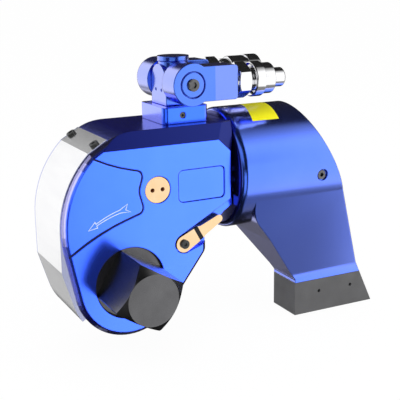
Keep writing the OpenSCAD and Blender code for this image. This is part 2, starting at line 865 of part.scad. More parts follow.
module swivel_spindle() color(blue) {
    z = post_top + face_gap;
    rod_z(spindle_r, top_z - spindle_depth, z + cut, swivel_x, mid);
    rod_z(cap_r, z, z + cap_h, swivel_x, mid);
}

module swivel_post() color(blue) {
    vent_r = 1.1;
    difference() {
        union() {
            length_x(swivel_x - post_l / 2, swivel_x + post_l / 2) {
                translate([mid, trunnion_z]) circle(r = post_w / 2);
                translate([mid - post_w / 2, base_top + face_gap]) square([post_w, trunnion_h - face_gap]);
            }
            rod_z(post_w / 2 - 2, trunnion_z, post_top, swivel_x, mid);
            rod_y(journal_r, arm_y0 + disc_t, body_w - arm_y0 - disc_t, swivel_x, trunnion_z);
        }
        rod_z(spindle_r + run_gap, base_top, post_top + cut, swivel_x, mid);
        rod_y(disc_shank_r + fixed_gap, arm_y0, arm_y0 + disc_t + 9, swivel_x, trunnion_z);
        rod_y(disc_shank_r + fixed_gap, body_w - arm_y0 - disc_t - 9, body_w - arm_y0, swivel_x, trunnion_z);
        for (y = [-5, 5]) rod_x(vent_r, swivel_x - post_l / 2 - cut, swivel_x - post_l / 2 + 2, mid + y, trunnion_z - 6);
    }
}

module swivel_arm() {
    difference() {
        union() {
            rod_y(arm_boss_r, arm_y0, arm_y1, swivel_x, trunnion_z);
            slab(arm_y0, arm_y1) polygon(soft_loop([
                [swivel_x, trunnion_z - arm_h / 2, 1], [arm_end, trunnion_z - arm_h / 2, arm_corner],
                [arm_end, trunnion_z + arm_h / 2, arm_corner], [swivel_x, trunnion_z + arm_h / 2, 1]
            ]));
        }
        rod_y(journal_r + run_gap, arm_y0 - cut, arm_y1 + cut, swivel_x, trunnion_z);
        rod_y(disc_r + disc_ring, arm_y0 - cut, arm_y0 + disc_t + face_gap, swivel_x, trunnion_z);
        rod_x(coupler_stem_r + fixed_gap, arm_end - stem_len, arm_end + cut, arm_axis_y, trunnion_z);
    }
}

module front_arm() color(blue) swivel_arm();

module rear_arm() color(blue) on_side(true) swivel_arm();

module arm_disc() {
    difference() {
        rod_y(disc_r, arm_y0, arm_y0 + disc_t, swivel_x, trunnion_z);
        rod_y(disc_shank_r + fixed_gap, arm_y0 - cut, arm_y0 + disc_t + cut, swivel_x, trunnion_z);
    }
}

module front_arm_disc() color(blue) arm_disc();

module rear_arm_disc() color(blue) on_side(true) arm_disc();

module arm_screw() {
    head_h = 1.4;
    difference() {
        union() {
            rod_y(disc_screw_r, arm_y0 - head_h, arm_y0, swivel_x, trunnion_z);
            rod_y(disc_shank_r, arm_y0 - head_h, arm_y0 + disc_t + 8, swivel_x, trunnion_z);
        }
        slab(arm_y0 - head_h - cut, arm_y0) translate([swivel_x, trunnion_z]) circle(r = disc_screw_r * 0.55, $fn = 6);
    }
}

module front_arm_screw() color(dark_steel) arm_screw();

module rear_arm_screw() color(dark_steel) on_side(true) arm_screw();

// Hexagon fitting that screws into the end of a swivel arm
module adapter() {
    low = hex_r - hex_corner - cut / hex_slope;
    rise = (hex_corner + cut) * hex_slope;
    difference() {
        union() {
            rod_x(coupler_stem_r, arm_end - stem_len, arm_end, arm_axis_y, trunnion_z);
            rod_x(neck_r, arm_end, hex_x + cut, arm_axis_y, trunnion_z);
            intersection() {
                length_x(hex_x, hex_end) translate([arm_axis_y, trunnion_z])
                    rotate(30) circle(r = hex_r, $fn = 6);
                coupler_turned([
                    [hex_x - cut, 0], [hex_x - cut, low], [hex_x + rise, hex_r + cut],
                    [hex_end - rise, hex_r + cut], [hex_end + cut, low], [hex_end + cut, 0]
                ]);
            }
            rod_x(neck_r, hex_end, neck_end, arm_axis_y, trunnion_z);
        }
        rod_x(oil_r, arm_end - stem_len - cut, neck_end + cut, arm_axis_y, trunnion_z);
    }
}

module front_adapter() color(chrome) adapter();

module rear_adapter() color(chrome) on_side(true) adapter();

// Solid of revolution about the coupler axis through [x, radius] points
module coupler_turned(pts) {
    translate([0, arm_axis_y, trunnion_z]) rotate([0, 90, 0]) rotate_extrude() polygon([for (p = pts) [p[1], p[0]]]);
}

module front_lock_ring() color(chrome) {
    bore = nipple_body_r + fixed_gap;
    edge = 0.8;
    groove = 0.6;
    rear_r = lock_ring_r - lock_ring_step;
    coupler_turned([
        [neck_end, bore], [collar_end, bore], [collar_end, rear_r - edge], [collar_end - edge, rear_r],
        [collar_mid + groove, rear_r], [collar_mid + groove, rear_r - groove], [collar_mid, rear_r - groove],
        [collar_mid, lock_ring_r], [neck_end + edge, lock_ring_r], [neck_end, lock_ring_r - edge]
    ]);
}

module front_nipple() color(chrome) {
    edge = 1.2;
    tip = collar_end + nipple_len;
    coupler_turned([
        [neck_end, oil_r], [tip, oil_r], [tip, nipple_r - edge], [tip - edge, nipple_r],
        [collar_end, nipple_r], [collar_end, nipple_body_r], [neck_end, nipple_body_r]
    ]);
}

module rear_coupler_body() color(chrome) on_side(true) {
    coupler_turned([
        [neck_end, oil_r], [socket_end - socket_depth, oil_r], [socket_end - socket_depth, socket_r],
        [socket_end, socket_r], [socket_end, socket_body_r], [neck_end, socket_body_r]
    ]);
}

module rear_coupler_sleeve() color(chrome) on_side(true) {
    bore = socket_body_r + run_gap;
    edge = 0.8;
    groove = 1;
    rim = sleeve_x1 - sleeve_rim_l;
    coupler_turned([
        [sleeve_x0, bore], [sleeve_x1, bore], [sleeve_x1, sleeve_rim_r - edge], [sleeve_x1 - edge, sleeve_rim_r],
        [rim, sleeve_rim_r], [rim, sleeve_r - groove], [rim - groove, sleeve_r - groove],
        [rim - groove, sleeve_r], [sleeve_x0 + edge, sleeve_r], [sleeve_x0, sleeve_r - edge]
    ]);
}

// End outline of the arm below its collar: planes from the collar's sides down to the foot
module arm_apron(low) {
    root_r = collar_r - apron_inset;
    out = root_r * cos(lean);
    up = cyl_z - root_r * sin(lean);
    half = foot_w / 2;
    polygon([
        [mid - out, up], [mid - half, band_z], [mid - half, low], [mid + half, low], [mid + half, band_z], [mid + out, up]
    ]);
}

// Round bar of the collar with its front edge rounded
module collar_bar(far) {
    flat_r = collar_r - collar_round;
    translate([0, mid, cyl_z]) rotate([0, 90, 0]) rotate_extrude() polygon(concat(
        [[0, far], [0, arm_x0]], arc([flat_r, arm_x0 + collar_round], collar_round, -90, 0), [[collar_r, far]]
    ));
}

module arm_tenon(gap) {
    translate([tenon_x0 - gap, mid - tenon_w / 2 - gap, pad_top - tenon_h - gap])
        cube([tenon_x1 - tenon_x0 + 2 * gap, tenon_w + 2 * gap, tenon_h + gap + (gap > 0 ? cut : 0)]);
}

module pad_pin_rods(r, inset) {
    for (x = pad_pin_x) rod_y(r, mid - foot_w / 2 + inset, mid + foot_w / 2 - inset, x, pad_pin_z);
}

module reaction_arm() color(blue) {
    high = cyl_z + collar_r;
    far = foot_far_x + 20;
    difference() {
        union() {
            intersection() {
                collar_bar(far);
                slab(-body_w, 2 * body_w)
                    polygon([[arm_x0, high + cut], [far_x(high + cut), high + cut], [far_x(0), 0], [arm_x0, 0]]);
            }
            intersection() {
                length_x(arm_x0, far) arm_apron(pad_top);
                slab(-body_w, 2 * body_w) polygon(concat(
                    soft_path(throat), [[far_x(pad_top), pad_top], [far_x(cyl_z), cyl_z]]
                ));
            }
            arm_tenon(0);
        }
        length_x(arm_x0 - cut, barrel_end + 2) translate([mid, cyl_z])
            polygon(spline_loop(spline_count, spline_r - spline_depth + face_gap, spline_r + face_gap));
        pad_pin_rods(pad_pin_r, -cut);
        rod_y(lock_screw_r, mid - collar_r - cut, mid - collar_r + lock_screw_len, lock_screw_x, lock_screw_z);
        rod_y(
            lock_screw_r + lock_ring_w, mid - collar_r - cut, mid - collar_r + lock_screw_recess + 1,
            lock_screw_x, lock_screw_z
        );
    }
}

module foot_pad() color(dark_steel) {
    difference() {
        slab(mid - foot_w / 2, mid + foot_w / 2)
            polygon([[foot_x, foot_z], [foot_far_x, foot_z], [far_x(pad_top), pad_top], [foot_x, pad_top]]);
        arm_tenon(tenon_gap);
        pad_pin_rods(pad_pin_r, -cut);
    }
}

module pad_pins() color(black) pad_pin_rods(pad_pin_r - fixed_gap, pad_pin_inset);

module arm_lock_screw() color(black) {
    y0 = mid - collar_r + lock_screw_recess;
    difference() {
        rod_y(lock_screw_r - fixed_gap, y0, mid - collar_r + lock_screw_len, lock_screw_x, lock_screw_z);
        slab(y0 - cut, y0 + 2) translate([lock_screw_x, lock_screw_z]) circle(r = lock_screw_r * 0.5, $fn = 6);
    }
}

housing();
shroud();
shroud_screws();
pin_plug();
rod_gland();
rod_seal();
cylinder_end_cap();
end_cap_seal();
piston();
piston_seal();
piston_rod();
rod_pin();
drive_plate_front();
drive_plate_rear();
drive_pawl_pin();
drive_pawl();
drive_bush_front();
drive_bush_rear();
ratchet();
square_drive();
drive_retainer();
release_button();
reaction_pawl();
pawl_shaft();
release_lever();
lever_band();
lever_screw();
swivel_base();
base_screw();
swivel_spindle();
swivel_post();
front_arm();
rear_arm();
front_arm_disc();
rear_arm_disc();
front_arm_screw();
rear_arm_screw();
front_adapter();
front_lock_ring();
front_nipple();
rear_adapter();
rear_coupler_body();
rear_coupler_sleeve();
reaction_arm();
foot_pad();
pad_pins();
arm_lock_screw();
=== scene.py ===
"""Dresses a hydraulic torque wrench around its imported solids: finishes, prints, valve parts and studio."""

from __future__ import annotations

import json
import logging
import math
from dataclasses import dataclass, field, replace
from enum import Enum
from typing import Any, Callable, Sequence

import bmesh
import bpy
from mathutils import Matrix, Vector

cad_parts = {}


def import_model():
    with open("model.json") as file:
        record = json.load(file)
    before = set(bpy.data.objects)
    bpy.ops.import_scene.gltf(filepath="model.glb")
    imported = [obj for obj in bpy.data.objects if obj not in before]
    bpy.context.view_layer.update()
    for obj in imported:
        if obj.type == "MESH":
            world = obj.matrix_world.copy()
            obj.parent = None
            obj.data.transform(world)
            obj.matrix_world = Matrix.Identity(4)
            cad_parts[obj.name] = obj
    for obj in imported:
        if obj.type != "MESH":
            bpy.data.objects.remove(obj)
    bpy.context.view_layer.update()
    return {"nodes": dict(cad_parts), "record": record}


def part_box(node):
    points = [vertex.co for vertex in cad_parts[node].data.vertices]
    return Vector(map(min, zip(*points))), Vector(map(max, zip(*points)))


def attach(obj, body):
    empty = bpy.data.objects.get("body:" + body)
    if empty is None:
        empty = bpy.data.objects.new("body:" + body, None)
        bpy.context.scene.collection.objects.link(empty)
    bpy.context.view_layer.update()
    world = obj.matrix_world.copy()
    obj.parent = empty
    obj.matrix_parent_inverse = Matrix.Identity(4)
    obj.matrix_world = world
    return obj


LOG = logging.getLogger("torque_wrench")
MM = 0.001
ARC_STEP = math.radians(6)
# Least divisor at the corners of a ribbon, which keeps sharp ones short
MITRE_LIMIT = 0.5

# Edges of the CAD nodes: width and steps of a softened edge, angle that counts as one, and reach of the weld
ROUND_MM = 0.35
ROUND_STEPS = 2
CREASE = 32.0
WELD_MM = 0.002

# Spans of the noise over which the patches and the grain change, and how fine each is broken up
PATCH_SPAN = (0.3, 0.7)
PATCH_DETAIL = 3.0
GRAIN_SPAN = (0.25, 0.75)
GRAIN_DETAIL = 2.0
# Rays that each soft edge and each recess tests
EDGE_SAMPLES = 8
# Open share of the view in a recess, from its depth to its mouth, over which the painted shade in holes
# fades out
OPEN_SPAN = (0.2, 0.7)
# Pale gloss that stays under the painted shade, and share of the painted highlight that stays on the parts
# of the rim that face down
SHADE_GLOSS = 0.15
LOW_RIM_HIGHLIGHT = 0.15
# Normal along Y of an edge that was cut square to the front
CUT_SQUARE = -0.9
# Normal along Y on the slanted edges, how far it may be off, and the most that it is on upright faces
SLANT = math.sqrt(0.5)
SLANT_SLACK = 0.02
UPRIGHT = 0.05
# Share of the turn at the outer line of a rolled edge, and the span over which the painted highlight on its
# rim comes in
ROLL_START = 0.45
RIM_HIGHLIGHT_SPAN = (0.58, 0.72)
# End of the housing's nose along X, at the drive axis
NOSE_MM = 0.0

Socket = bpy.types.NodeSocket
Tree = bpy.types.NodeTree
Outputs = bpy.types.NodeOutputs
Mesh = bmesh.types.BMesh
Point = tuple[float, float, float]
Profile = tuple[tuple[float, float], ...]


def linear(hex_colour: str) -> tuple[float, float, float, float]:
    """Turn an sRGB hex colour into linear values.

    Args:
        hex_colour: Six hex digits after a number sign.

    Returns:
        Red, green, blue and alpha for a colour socket.
    """
    digits = hex_colour.lstrip("#")
    parts = [int(digits[i:i + 2], 16) / 255 for i in (0, 2, 4)]
    red, green, blue = (p / 12.92 if p <= 0.04045 else ((p + 0.055) / 1.055) ** 2.4 for p in parts)
    return red, green, blue, 1.0


def per_mm(size_mm: float) -> float:
    """Texture scale in object space, in metres, for a feature of the given size in millimetres."""
    return 1.0 / (size_mm * MM)


def add_node(tree: Tree, kind: str, inputs: dict[Any, Any] | None = None, **settings: Any) -> Outputs:
    """Add a shader node, set its properties and fill or link its inputs.

    Args:
        tree: Node tree that takes the node.
        kind: Type of the node, without the prefix that all shader nodes share.
        inputs: Input name or index to a value, or to the output socket that feeds it.
        settings: Properties of the node itself.

    Returns:
        The new node's outputs.
    """
    node = tree.nodes.new(f"ShaderNode{kind}")
    for key, value in settings.items():
        setattr(node, key, value)
    for key, value in (inputs or {}).items():
        if isinstance(value, Socket):
            tree.links.new(value, node.inputs[key])
        else:
            node.inputs[key].default_value = value
    return node.outputs


class Grain(Enum):
    """How a surface was made, which sets the stretch of its fine pattern along X, Y and Z."""

    EVEN = (1.0, 1.0, 1.0)
    BRUSHED_UP = (6.0, 0.6, 6.0)
    TURNED = (14.0, 1.0, 1.0)


class Turn(Enum):
    """A way that a face turns: axis of its normal, and where along it a tone starts and is full."""

    UP = ("Z", 0.1, 0.2)
    DOWN = ("Z", -0.14, -0.24)
    LEVEL = ("Z", -0.2, -0.03)
    LEFT = ("X", -0.1, -0.35)
    INBOARD = ("X", -0.35, -0.15)
    OUTBOARD = ("X", 0.12, 0.25)


@dataclass(frozen=True)
class Finish:
    """A surface finish that makes one procedural material.

    A tone left empty, or a strength or edge width left at 0, isn't drawn.

    Attributes:
        name: The material's name.
        colour: Main colour.
        deep: Colour of the darker patches.
        metallic: Share of bare metal.
        roughness: Middle roughness.
        roughness_swing: Its change with the grain.
        patch_mm: Size of the patches.
        grain_mm: Size of the grain.
        relief: Strength of its bumps.
        grain: Way that it runs.
        soft_edge_mm: Radius that edges seem to have.
        undertone: Matt colour under the gloss.
        core: Strength of the dye in the reflections.
        core_colour: Its colour.
        shade_tone: Metal colour of the painted shade, on faces that turn away.
        shade_from_mm: Place along X beyond which the shade is painted.
        shaded_end_mm: End along X of the only face where the shade is painted.
        shade_core: Dye in the reflections under the painted shade.
        rolled_mm: Width of side edges that look rolled.
        rim_mm: Width of the rim that shows it.
        across_mm: Width over the two side faces.
        rim_highlight: Most painted highlight, as pale gloss, on the rim.
        recess_shade_tone: Colour of the painted shade deep inside holes.
        recess_mm: Width of such holes.
        lip_reflection_tone: Metal colour of the painted bluish reflection on cut edges.
        lip_from_mm: Place along Y where the rear lip starts.
        highlight_from_mm: Place along X where the painted highlight on the end starts.
        end_highlight: Share of pale gloss painted there as a highlight.
        veil: How far pale gloss reaches in from where the surface turns away.
        veil_colour: Its colour.
    """

    name: str
    colour: str
    deep: str
    metallic: float = 1.0
    roughness: float = 0.25
    roughness_swing: float = 0.08
    patch_mm: float = 18.0
    grain_mm: float = 0.5
    relief: float = 0.05
    grain: Grain = Grain.EVEN
    soft_edge_mm: float = 0.0
    undertone: str = ""
    core: float = 0.0
    core_colour: str = "#0000FF"
    shade_tone: str = ""
    shade_from_mm: float = 0.0
    shaded_end_mm: float = 0.0
    shade_core: str = "#000010"
    rolled_mm: float = 0.0
    rim_mm: float = 0.0
    across_mm: float = 0.0
    rim_highlight: float = 0.0
    recess_shade_tone: str = ""
    recess_mm: float = 4.0
    lip_reflection_tone: str = ""
    lip_from_mm: float = 0.0
    highlight_from_mm: float = 0.0
    end_highlight: float = 0.0
    veil: float = 0.0
    veil_colour: str = "#E8E0FF"

    def material(self) -> bpy.types.Material:
        """Make the material, or return it if it is already there.

        Returns:
            The finish as a Blender material.
        """
        ready = bpy.data.materials.get(self.name)
        if ready:
            return ready
        made = bpy.data.materials.new(self.name)
        made.use_nodes = True
        tree = made.node_tree
        tree.nodes.clear()
        add_node(tree, "OutputMaterial", {"Surface": self.surface(tree)})
        return made

    def surface(self, tree: Tree) -> Socket:
        """Draw the finish's nodes.

        Args:
            tree: The node tree.

        Returns:
            The shader to give to the material's output.
        """
        fine = self.pattern(tree, self.grain_mm, GRAIN_DETAIL)
        swing = {
            "Value": fine,
            "From Min": GRAIN_SPAN[0],
            "From Max": GRAIN_SPAN[1],
            "To Min": self.roughness - self.roughness_swing / 2,
            "To Max": self.roughness + self.roughness_swing / 2,
        }
        rough = add_node(tree, "MapRange", swing)["Result"]
        # Shares of the painted shade: on faces that turn away, and deep in holes
        painted_shade = self.painted_shade(tree) if self.shade_tone else None
        recess = self.recess_shaded(tree) if self.recess_shade_tone else None
        normal, rim = self.relieved(tree, fine)
        tone = self.tinted(tree, painted_shade, recess)
        metal = {"Base Color": tone, "Metallic": self.metallic, "Roughness": rough, "Normal": normal}
        # In the painted shade of holes the metal also turns dull
        if recess is not None:
            clean = {0: self.metallic, 1: recess}
            metal["Metallic"] = add_node(tree, "Math", clean, operation="SUBTRACT")["Value"]
        body = add_node(tree, "BsdfPrincipled", metal)["BSDF"]
        for layer in self.dyed(tree, rough, normal, painted_shade):
            body = add_node(tree, "AddShader", {0: body, 1: layer})["Shader"]
        if not self.veil:
            return body
        pale = {**metal, "Base Color": linear(self.veil_colour), "Metallic": 1.0}
        lacquer = add_node(tree, "BsdfPrincipled", pale)["BSDF"]
        gloss = self.glossed(tree, normal, painted_shade, rim)
        return add_node(tree, "MixShader", {0: gloss, 1: body, 2: lacquer})["Shader"]

    def pattern(self, tree: Tree, size_mm: float, detail: float) -> Socket:
        """Uneven pattern of a given size, stretched along the grain.

        Args:
            tree: The node tree.
            size_mm: Size of one feature across the grain.
            detail: How fine the pattern is broken up.

        Returns:
            The pattern's value.
        """
        where = add_node(tree, "TexCoord")["Object"]
        scale = tuple(per_mm(size_mm) * stretch for stretch in self.grain.value)
        place = add_node(tree, "Mapping", {"Vector": where, "Scale": scale})["Vector"]
        noise = {"Vector": place, "Scale": 1.0, "Detail": detail}
        return add_node(tree, "TexNoise", noise)["Fac"]

    def tinted(self, tree: Tree, painted_shade: Socket | None, recess: Socket | None) -> Socket:
        """Colour of the metal with its patches, the painted shade on faces that turn away and in holes, and
        the painted bluish reflection on cut edges.

        Args:
            tree: The node tree.
            painted_shade: Share of the painted shade, or none.
            recess: Share of the painted shade in holes, or none.

        Returns:
            The colour.
        """
        patch = self.pattern(tree, self.patch_mm, PATCH_DETAIL)
        span = {"Value": patch, "From Min": PATCH_SPAN[0], "From Max": PATCH_SPAN[1]}
        tones = [(add_node(tree, "MapRange", span)["Result"], self.colour)]
        if painted_shade is not None:
            tones.append((painted_shade, self.shade_tone))
        if self.lip_reflection_tone:
            tones.append((self.lip_reflected(tree), self.lip_reflection_tone))
        if recess is not None:
            tones.append((recess, self.recess_shade_tone))
        mixed: Any = linear(self.deep)
        for share, tone in tones:
            mix = {"Factor": share, "A": mixed, "B": linear(tone)}
            mixed = add_node(tree, "Mix", mix, data_type="RGBA")["Result"]
        return mixed

    def relieved(self, tree: Tree, fine: Socket) -> tuple[Socket, Socket | None]:
        """Shape the surface with soft or rolled edges and the grain's bumps.

        Args:
            tree: The node tree.
            fine: The grain's pattern.

        Returns:
            The normal to shade with, and the share of the painted highlight on a rolled rim, or none.
        """
        relief = {"Height": fine, "Strength": self.relief, "Distance": self.grain_mm * MM}
        rim = None
        if self.soft_edge_mm:
            rounding = {"Radius": self.soft_edge_mm * MM}
            soft = add_node(tree, "Bevel", rounding, samples=EDGE_SAMPLES)["Normal"]
            relief["Normal"] = soft
            if self.rolled_mm:
                relief["Normal"], rim = self.rolled(tree, soft)
        return add_node(tree, "Bump", relief)["Normal"], rim

    def dyed(self, tree: Tree, rough: Socket, normal: Socket, painted_shade: Socket | None) -> list[Socket]:
        """Shaders that are added to the metal: its matt undertone and the dye in its reflections.

        Args:
            tree: The node tree.
            rough: The roughness.
            normal: The normal to shade with.
            painted_shade: Share of the painted shade, which darkens the dye, or none.

        Returns:
            The shaders.
        """
        layers = []
        if self.undertone:
            matt = {"Color": linear(self.undertone), "Normal": normal}
            layers.append(add_node(tree, "BsdfDiffuse", matt)["BSDF"])
        if self.core:
            red, green, blue, alpha = linear(self.core_colour)
            dye: Any = (red * self.core, green * self.core, blue * self.core, alpha)
            # Under the painted shade the dye in the reflections goes almost black
            if painted_shade is not None:
                mix = {"Factor": painted_shade, "A": dye, "B": linear(self.shade_core)}
                dye = add_node(tree, "Mix", mix, data_type="RGBA")["Result"]
            inner = {"Color": dye, "Roughness": rough, "Normal": normal}
            layers.append(add_node(tree, "BsdfAnisotropic", inner)["BSDF"])
        return layers

    def glossed(self, tree: Tree, normal: Socket, painted_shade: Socket | None, rim: Socket | None) -> Socket:
        """Share of pale gloss where the surface turns away, and of the highlights painted on the rolled rim
        and on the end.

        Args:
            tree: The node tree.
            normal: The normal to shade with.
            painted_shade: Share of the painted shade, which dulls the gloss, or none.
            rim: Share of the painted highlight on the rim, or none.

        Returns:
            The share.
        """
        gloss = add_node(tree, "LayerWeight", {"Normal": normal})["Facing"]
        steps: list[tuple[str, Any]] = [("POWER", 1 / self.veil)]
        if painted_shade is not None:
            dulled = {"Value": painted_shade, "To Min": 1.0, "To Max": SHADE_GLOSS}
            steps.append(("MULTIPLY", add_node(tree, "MapRange", dulled)["Result"]))
        if rim is not None:
            steps.append(("MAXIMUM", rim))
        # Painted highlight on the end beyond a place along X
        if self.end_highlight:
            end = {0: self.along(tree, "X", self.highlight_from_mm, "GREATER_THAN"), 1: self.end_highlight}
            steps.append(("MAXIMUM", add_node(tree, "Math", end, operation="MULTIPLY")["Value"]))
        for operation, part in steps:
            gloss = add_node(tree, "Math", {0: gloss, 1: part}, operation=operation)["Value"]
        return gloss

    def along(self, tree: Tree, axis: str, place_mm: float, test: str) -> Socket:
        """One on one side of a place along an axis, none on the other.

        Args:
            tree: The node tree.
            axis: Letter of the axis.
            place_mm: The place, in millimetres.
            test: Blender's name of the comparison that gives one.

        Returns:
            The share.
        """
        where = add_node(tree, "TexCoord")["Object"]
        here = add_node(tree, "SeparateXYZ", {"Vector": where})[axis]
        return add_node(tree, "Math", {0: here, 1: place_mm * MM}, operation=test)["Value"]

    def turning(self, tree: Tree, turn: Turn, start: float = 0.0, full: float = 1.0) -> Socket:
        """Share that changes as a face turns one way.

        Args:
            tree: The node tree.
            turn: The way that it turns.
            start: Share before the turn.
            full: Share after it.

        Returns:
            The share.
        """
        axis, low, high = turn.value
        facing = add_node(tree, "NewGeometry")["True Normal"]
        part = add_node(tree, "SeparateXYZ", {"Vector": facing})[axis]
        span = {"Value": part, "From Min": low, "From Max": high, "To Min": start, "To Max": full}
        return add_node(tree, "MapRange", span)["Result"]

    def painted_shade(self, tree: Tree) -> Socket:
        """Share of the painted shade: one on the end face, or on the barrel and on faces that turn down,
        outboard, or up but not to the left.

        Args:
            tree: The node tree.

        Returns:
            The share.
        """
        if self.shaded_end_mm:
            return self.along(tree, "X", self.shaded_end_mm, "LESS_THAN")
        steps = (
            ("MULTIPLY", self.turning(tree, Turn.INBOARD)),
            ("MAXIMUM", self.turning(tree, Turn.OUTBOARD)),
            ("MAXIMUM", self.turning(tree, Turn.DOWN)),
            ("MAXIMUM", self.along(tree, "X", self.shade_from_mm, "GREATER_THAN")),
        )
        share = self.turning(tree, Turn.UP)
        for operation, part in steps:
            share = add_node(tree, "Math", {0: share, 1: part}, operation=operation)["Value"]
        return share

    def lip_reflected(self, tree: Tree) -> Socket:
        """Share of the painted bluish reflection: one along the rear lip and on edges that were cut square
        to the front.

        Args:
            tree: The node tree.

        Returns:
            The share.
        """
        lip = self.along(tree, "Y", self.lip_from_mm, "GREATER_THAN")
        facing = add_node(tree, "NewGeometry")["True Normal"]
        across = add_node(tree, "SeparateXYZ", {"Vector": facing})["Y"]
        square = {0: across, 1: CUT_SQUARE}
        cut = add_node(tree, "Math", square, operation="LESS_THAN")["Value"]
        return add_node(tree, "Math", {0: lip, 1: cut}, operation="MAXIMUM")["Value"]

    def recess_shaded(self, tree: Tree) -> Socket:
        """Share of the painted shade in holes: one deep inside narrow holes, none on open faces.

        Args:
            tree: The node tree.

        Returns:
            The share.
        """
        width = {"Distance": self.recess_mm * MM}
        hole = add_node(tree, "AmbientOcclusion", width, samples=EDGE_SAMPLES, only_local=True)
        span = {
            "Value": hole["AO"],
            "From Min": OPEN_SPAN[0],
            "From Max": OPEN_SPAN[1],
            "To Min": 1.0,
            "To Max": 0.0,
        }
        return add_node(tree, "MapRange", span)["Result"]

    def rolled(self, tree: Tree, plain: Socket) -> tuple[Socket, Socket]:
        """Turn the normal evenly over the edges of the two side faces, so that the edges look rolled.

        Args:
            tree: The node tree.
            plain: The normal elsewhere.

        Returns:
            The normal to shade with, and the share of the painted highlight on the rim beside the shroud.
        """
        half = self.across_mm * MM / 2
        where = add_node(tree, "TexCoord")["Object"]
        across = add_node(tree, "SeparateXYZ", {"Vector": where})["Y"]
        offset = add_node(tree, "Math", {0: across, 1: half}, operation="SUBTRACT")["Value"]
        reach = add_node(tree, "Math", {0: offset}, operation="ABSOLUTE")["Value"]
        inner = half - self.rolled_mm * MM
        span = {"Value": reach, "From Min": half, "From Max": inner, "To Min": ROLL_START}
        roll = add_node(tree, "MapRange", span)["Result"]
        edge = self.edged(tree, reach)
        facing = add_node(tree, "NewGeometry")["True Normal"]
        axes = add_node(tree, "SeparateXYZ", {"Vector": facing})
        face = add_node(tree, "CombineXYZ", {"Y": axes["Y"]})["Vector"]
        side = add_node(tree, "CombineXYZ", {"X": axes["X"], "Z": axes["Z"]})["Vector"]
        bend = {"Factor": roll, "A": face, "B": side}
        bent = add_node(tree, "Mix", bend, data_type="VECTOR")["Result"]
        even = add_node(tree, "VectorMath", {0: bent}, operation="NORMALIZE")["Vector"]
        swap = {"Factor": edge, "A": plain, "B": even}
        shown = add_node(tree, "Mix", swap, data_type="VECTOR")["Result"]
        bright = {"Value": roll, "From Min": RIM_HIGHLIGHT_SPAN[0], "From Max": RIM_HIGHLIGHT_SPAN[1]}
        # Painted highlight on the rim: full where it faces left, weaker where it faces down, and only behind
        # the nose
        parts = (
            self.turning(tree, Turn.LEFT, full=self.rim_highlight),
            add_node(tree, "MapRange", bright)["Result"],
            self.turning(tree, Turn.LEVEL, start=LOW_RIM_HIGHLIGHT),
            self.along(tree, "X", NOSE_MM, "LESS_THAN"),
        )
        rim = edge
        for part in parts:
            rim = add_node(tree, "Math", {0: rim, 1: part}, operation="MULTIPLY")["Value"]
        return shown, rim

    def edged(self, tree: Tree, reach: Socket) -> Socket:
        """Where the edges look rolled: one on the slanted edges and on the nose's rim, none elsewhere.

        Args:
            tree: The node tree.
            reach: Distance from the middle between the two side faces, in metres.

        Returns:
            The share.
        """
        facing = add_node(tree, "NewGeometry")["True Normal"]
        across = add_node(tree, "SeparateXYZ", {"Vector": facing})["Y"]
        tilt = add_node(tree, "Math", {0: across}, operation="ABSOLUTE")["Value"]
        slant = {0: tilt, 1: SLANT, 2: SLANT_SLACK}
        outer = {0: reach, 1: (self.across_mm / 2 - self.rim_mm) * MM}
        steps = (
            ("MULTIPLY", self.along(tree, "X", NOSE_MM, "LESS_THAN")),
            ("MAXIMUM", add_node(tree, "Math", slant, operation="COMPARE")["Value"]),
            ("MULTIPLY", add_node(tree, "Math", outer, operation="GREATER_THAN")["Value"]),
        )
        share = add_node(tree, "Math", {0: tilt, 1: UPRIGHT}, operation="LESS_THAN")["Value"]
        for operation, part in steps:
            share = add_node(tree, "Math", {0: share, 1: part}, operation=operation)["Value"]
        return share


# Blue anodised alloy: saturated where it faces the eye, washed with pale gloss where it turns away
BLUE = Finish("blue_anodised_alloy", "#5F8FFF", "#5688FA", roughness=0.19, roughness_swing=0.04,
              patch_mm=40, grain_mm=0.8, relief=0.01, soft_edge_mm=1.1, undertone="#0A0A54", veil=0.62)
# The same alloy on the housing, with painted shade on its top, bevels and barrel, and rolled side edges
# whose rim carries a painted highlight
BODY_BLUE = replace(BLUE, name="blue_anodised_housing", colour="#5E9FFF", deep="#5698FA", roughness=0.22,
                    undertone="#0A0A48", core=1.6, shade_tone="#212E68", shade_from_mm=86.4,
                    rolled_mm=3.4, rim_mm=4.8, across_mm=70, rim_highlight=0.85)
# The same alloy on the front hose arm, with a painted highlight on its end
ARM_BLUE = replace(BLUE, name="blue_anodised_arm", highlight_from_mm=72.2, end_highlight=0.17)
# The same alloy on the reaction arm, dyed almost black in the shade, with painted shade on its end face
REACTION_BLUE = replace(BLUE, name="blue_anodised_reaction_arm", undertone="#05051C", core=0.3,
                        shade_tone="#2E3478", shaded_end_mm=88)
# The same alloy on the swivel base, dyed deeper
BASE_BLUE = replace(BLUE, name="blue_anodised_base", colour="#4589FF", deep="#3F83FA", core=0.8)
# Ground stainless sheet: bright, with fine upright scratches from the belt
BRIGHT = Finish("ground_stainless_sheet", "#FBFBFC", "#F6F6F8", roughness=0.22, roughness_swing=0.05,
                patch_mm=30, grain_mm=0.5, relief=0.04, grain=Grain.BRUSHED_UP)
# The same sheet on the shroud, with a painted bluish reflection along the edges where it was cut
SHROUD = replace(BRIGHT, name="cut_stainless_sheet", lip_reflection_tone="#C6CBEC", lip_from_mm=63.4)
# Oil quenched alloy steel: dark grey with faint cloudy patches from the bath
DRIVE = Finish("quenched_alloy_steel", "#767678", "#6C6C6E", roughness=0.3, roughness_swing=0.1,
               patch_mm=12, grain_mm=0.4, relief=0.05, veil=0.3, veil_colour="#C8C8D2")
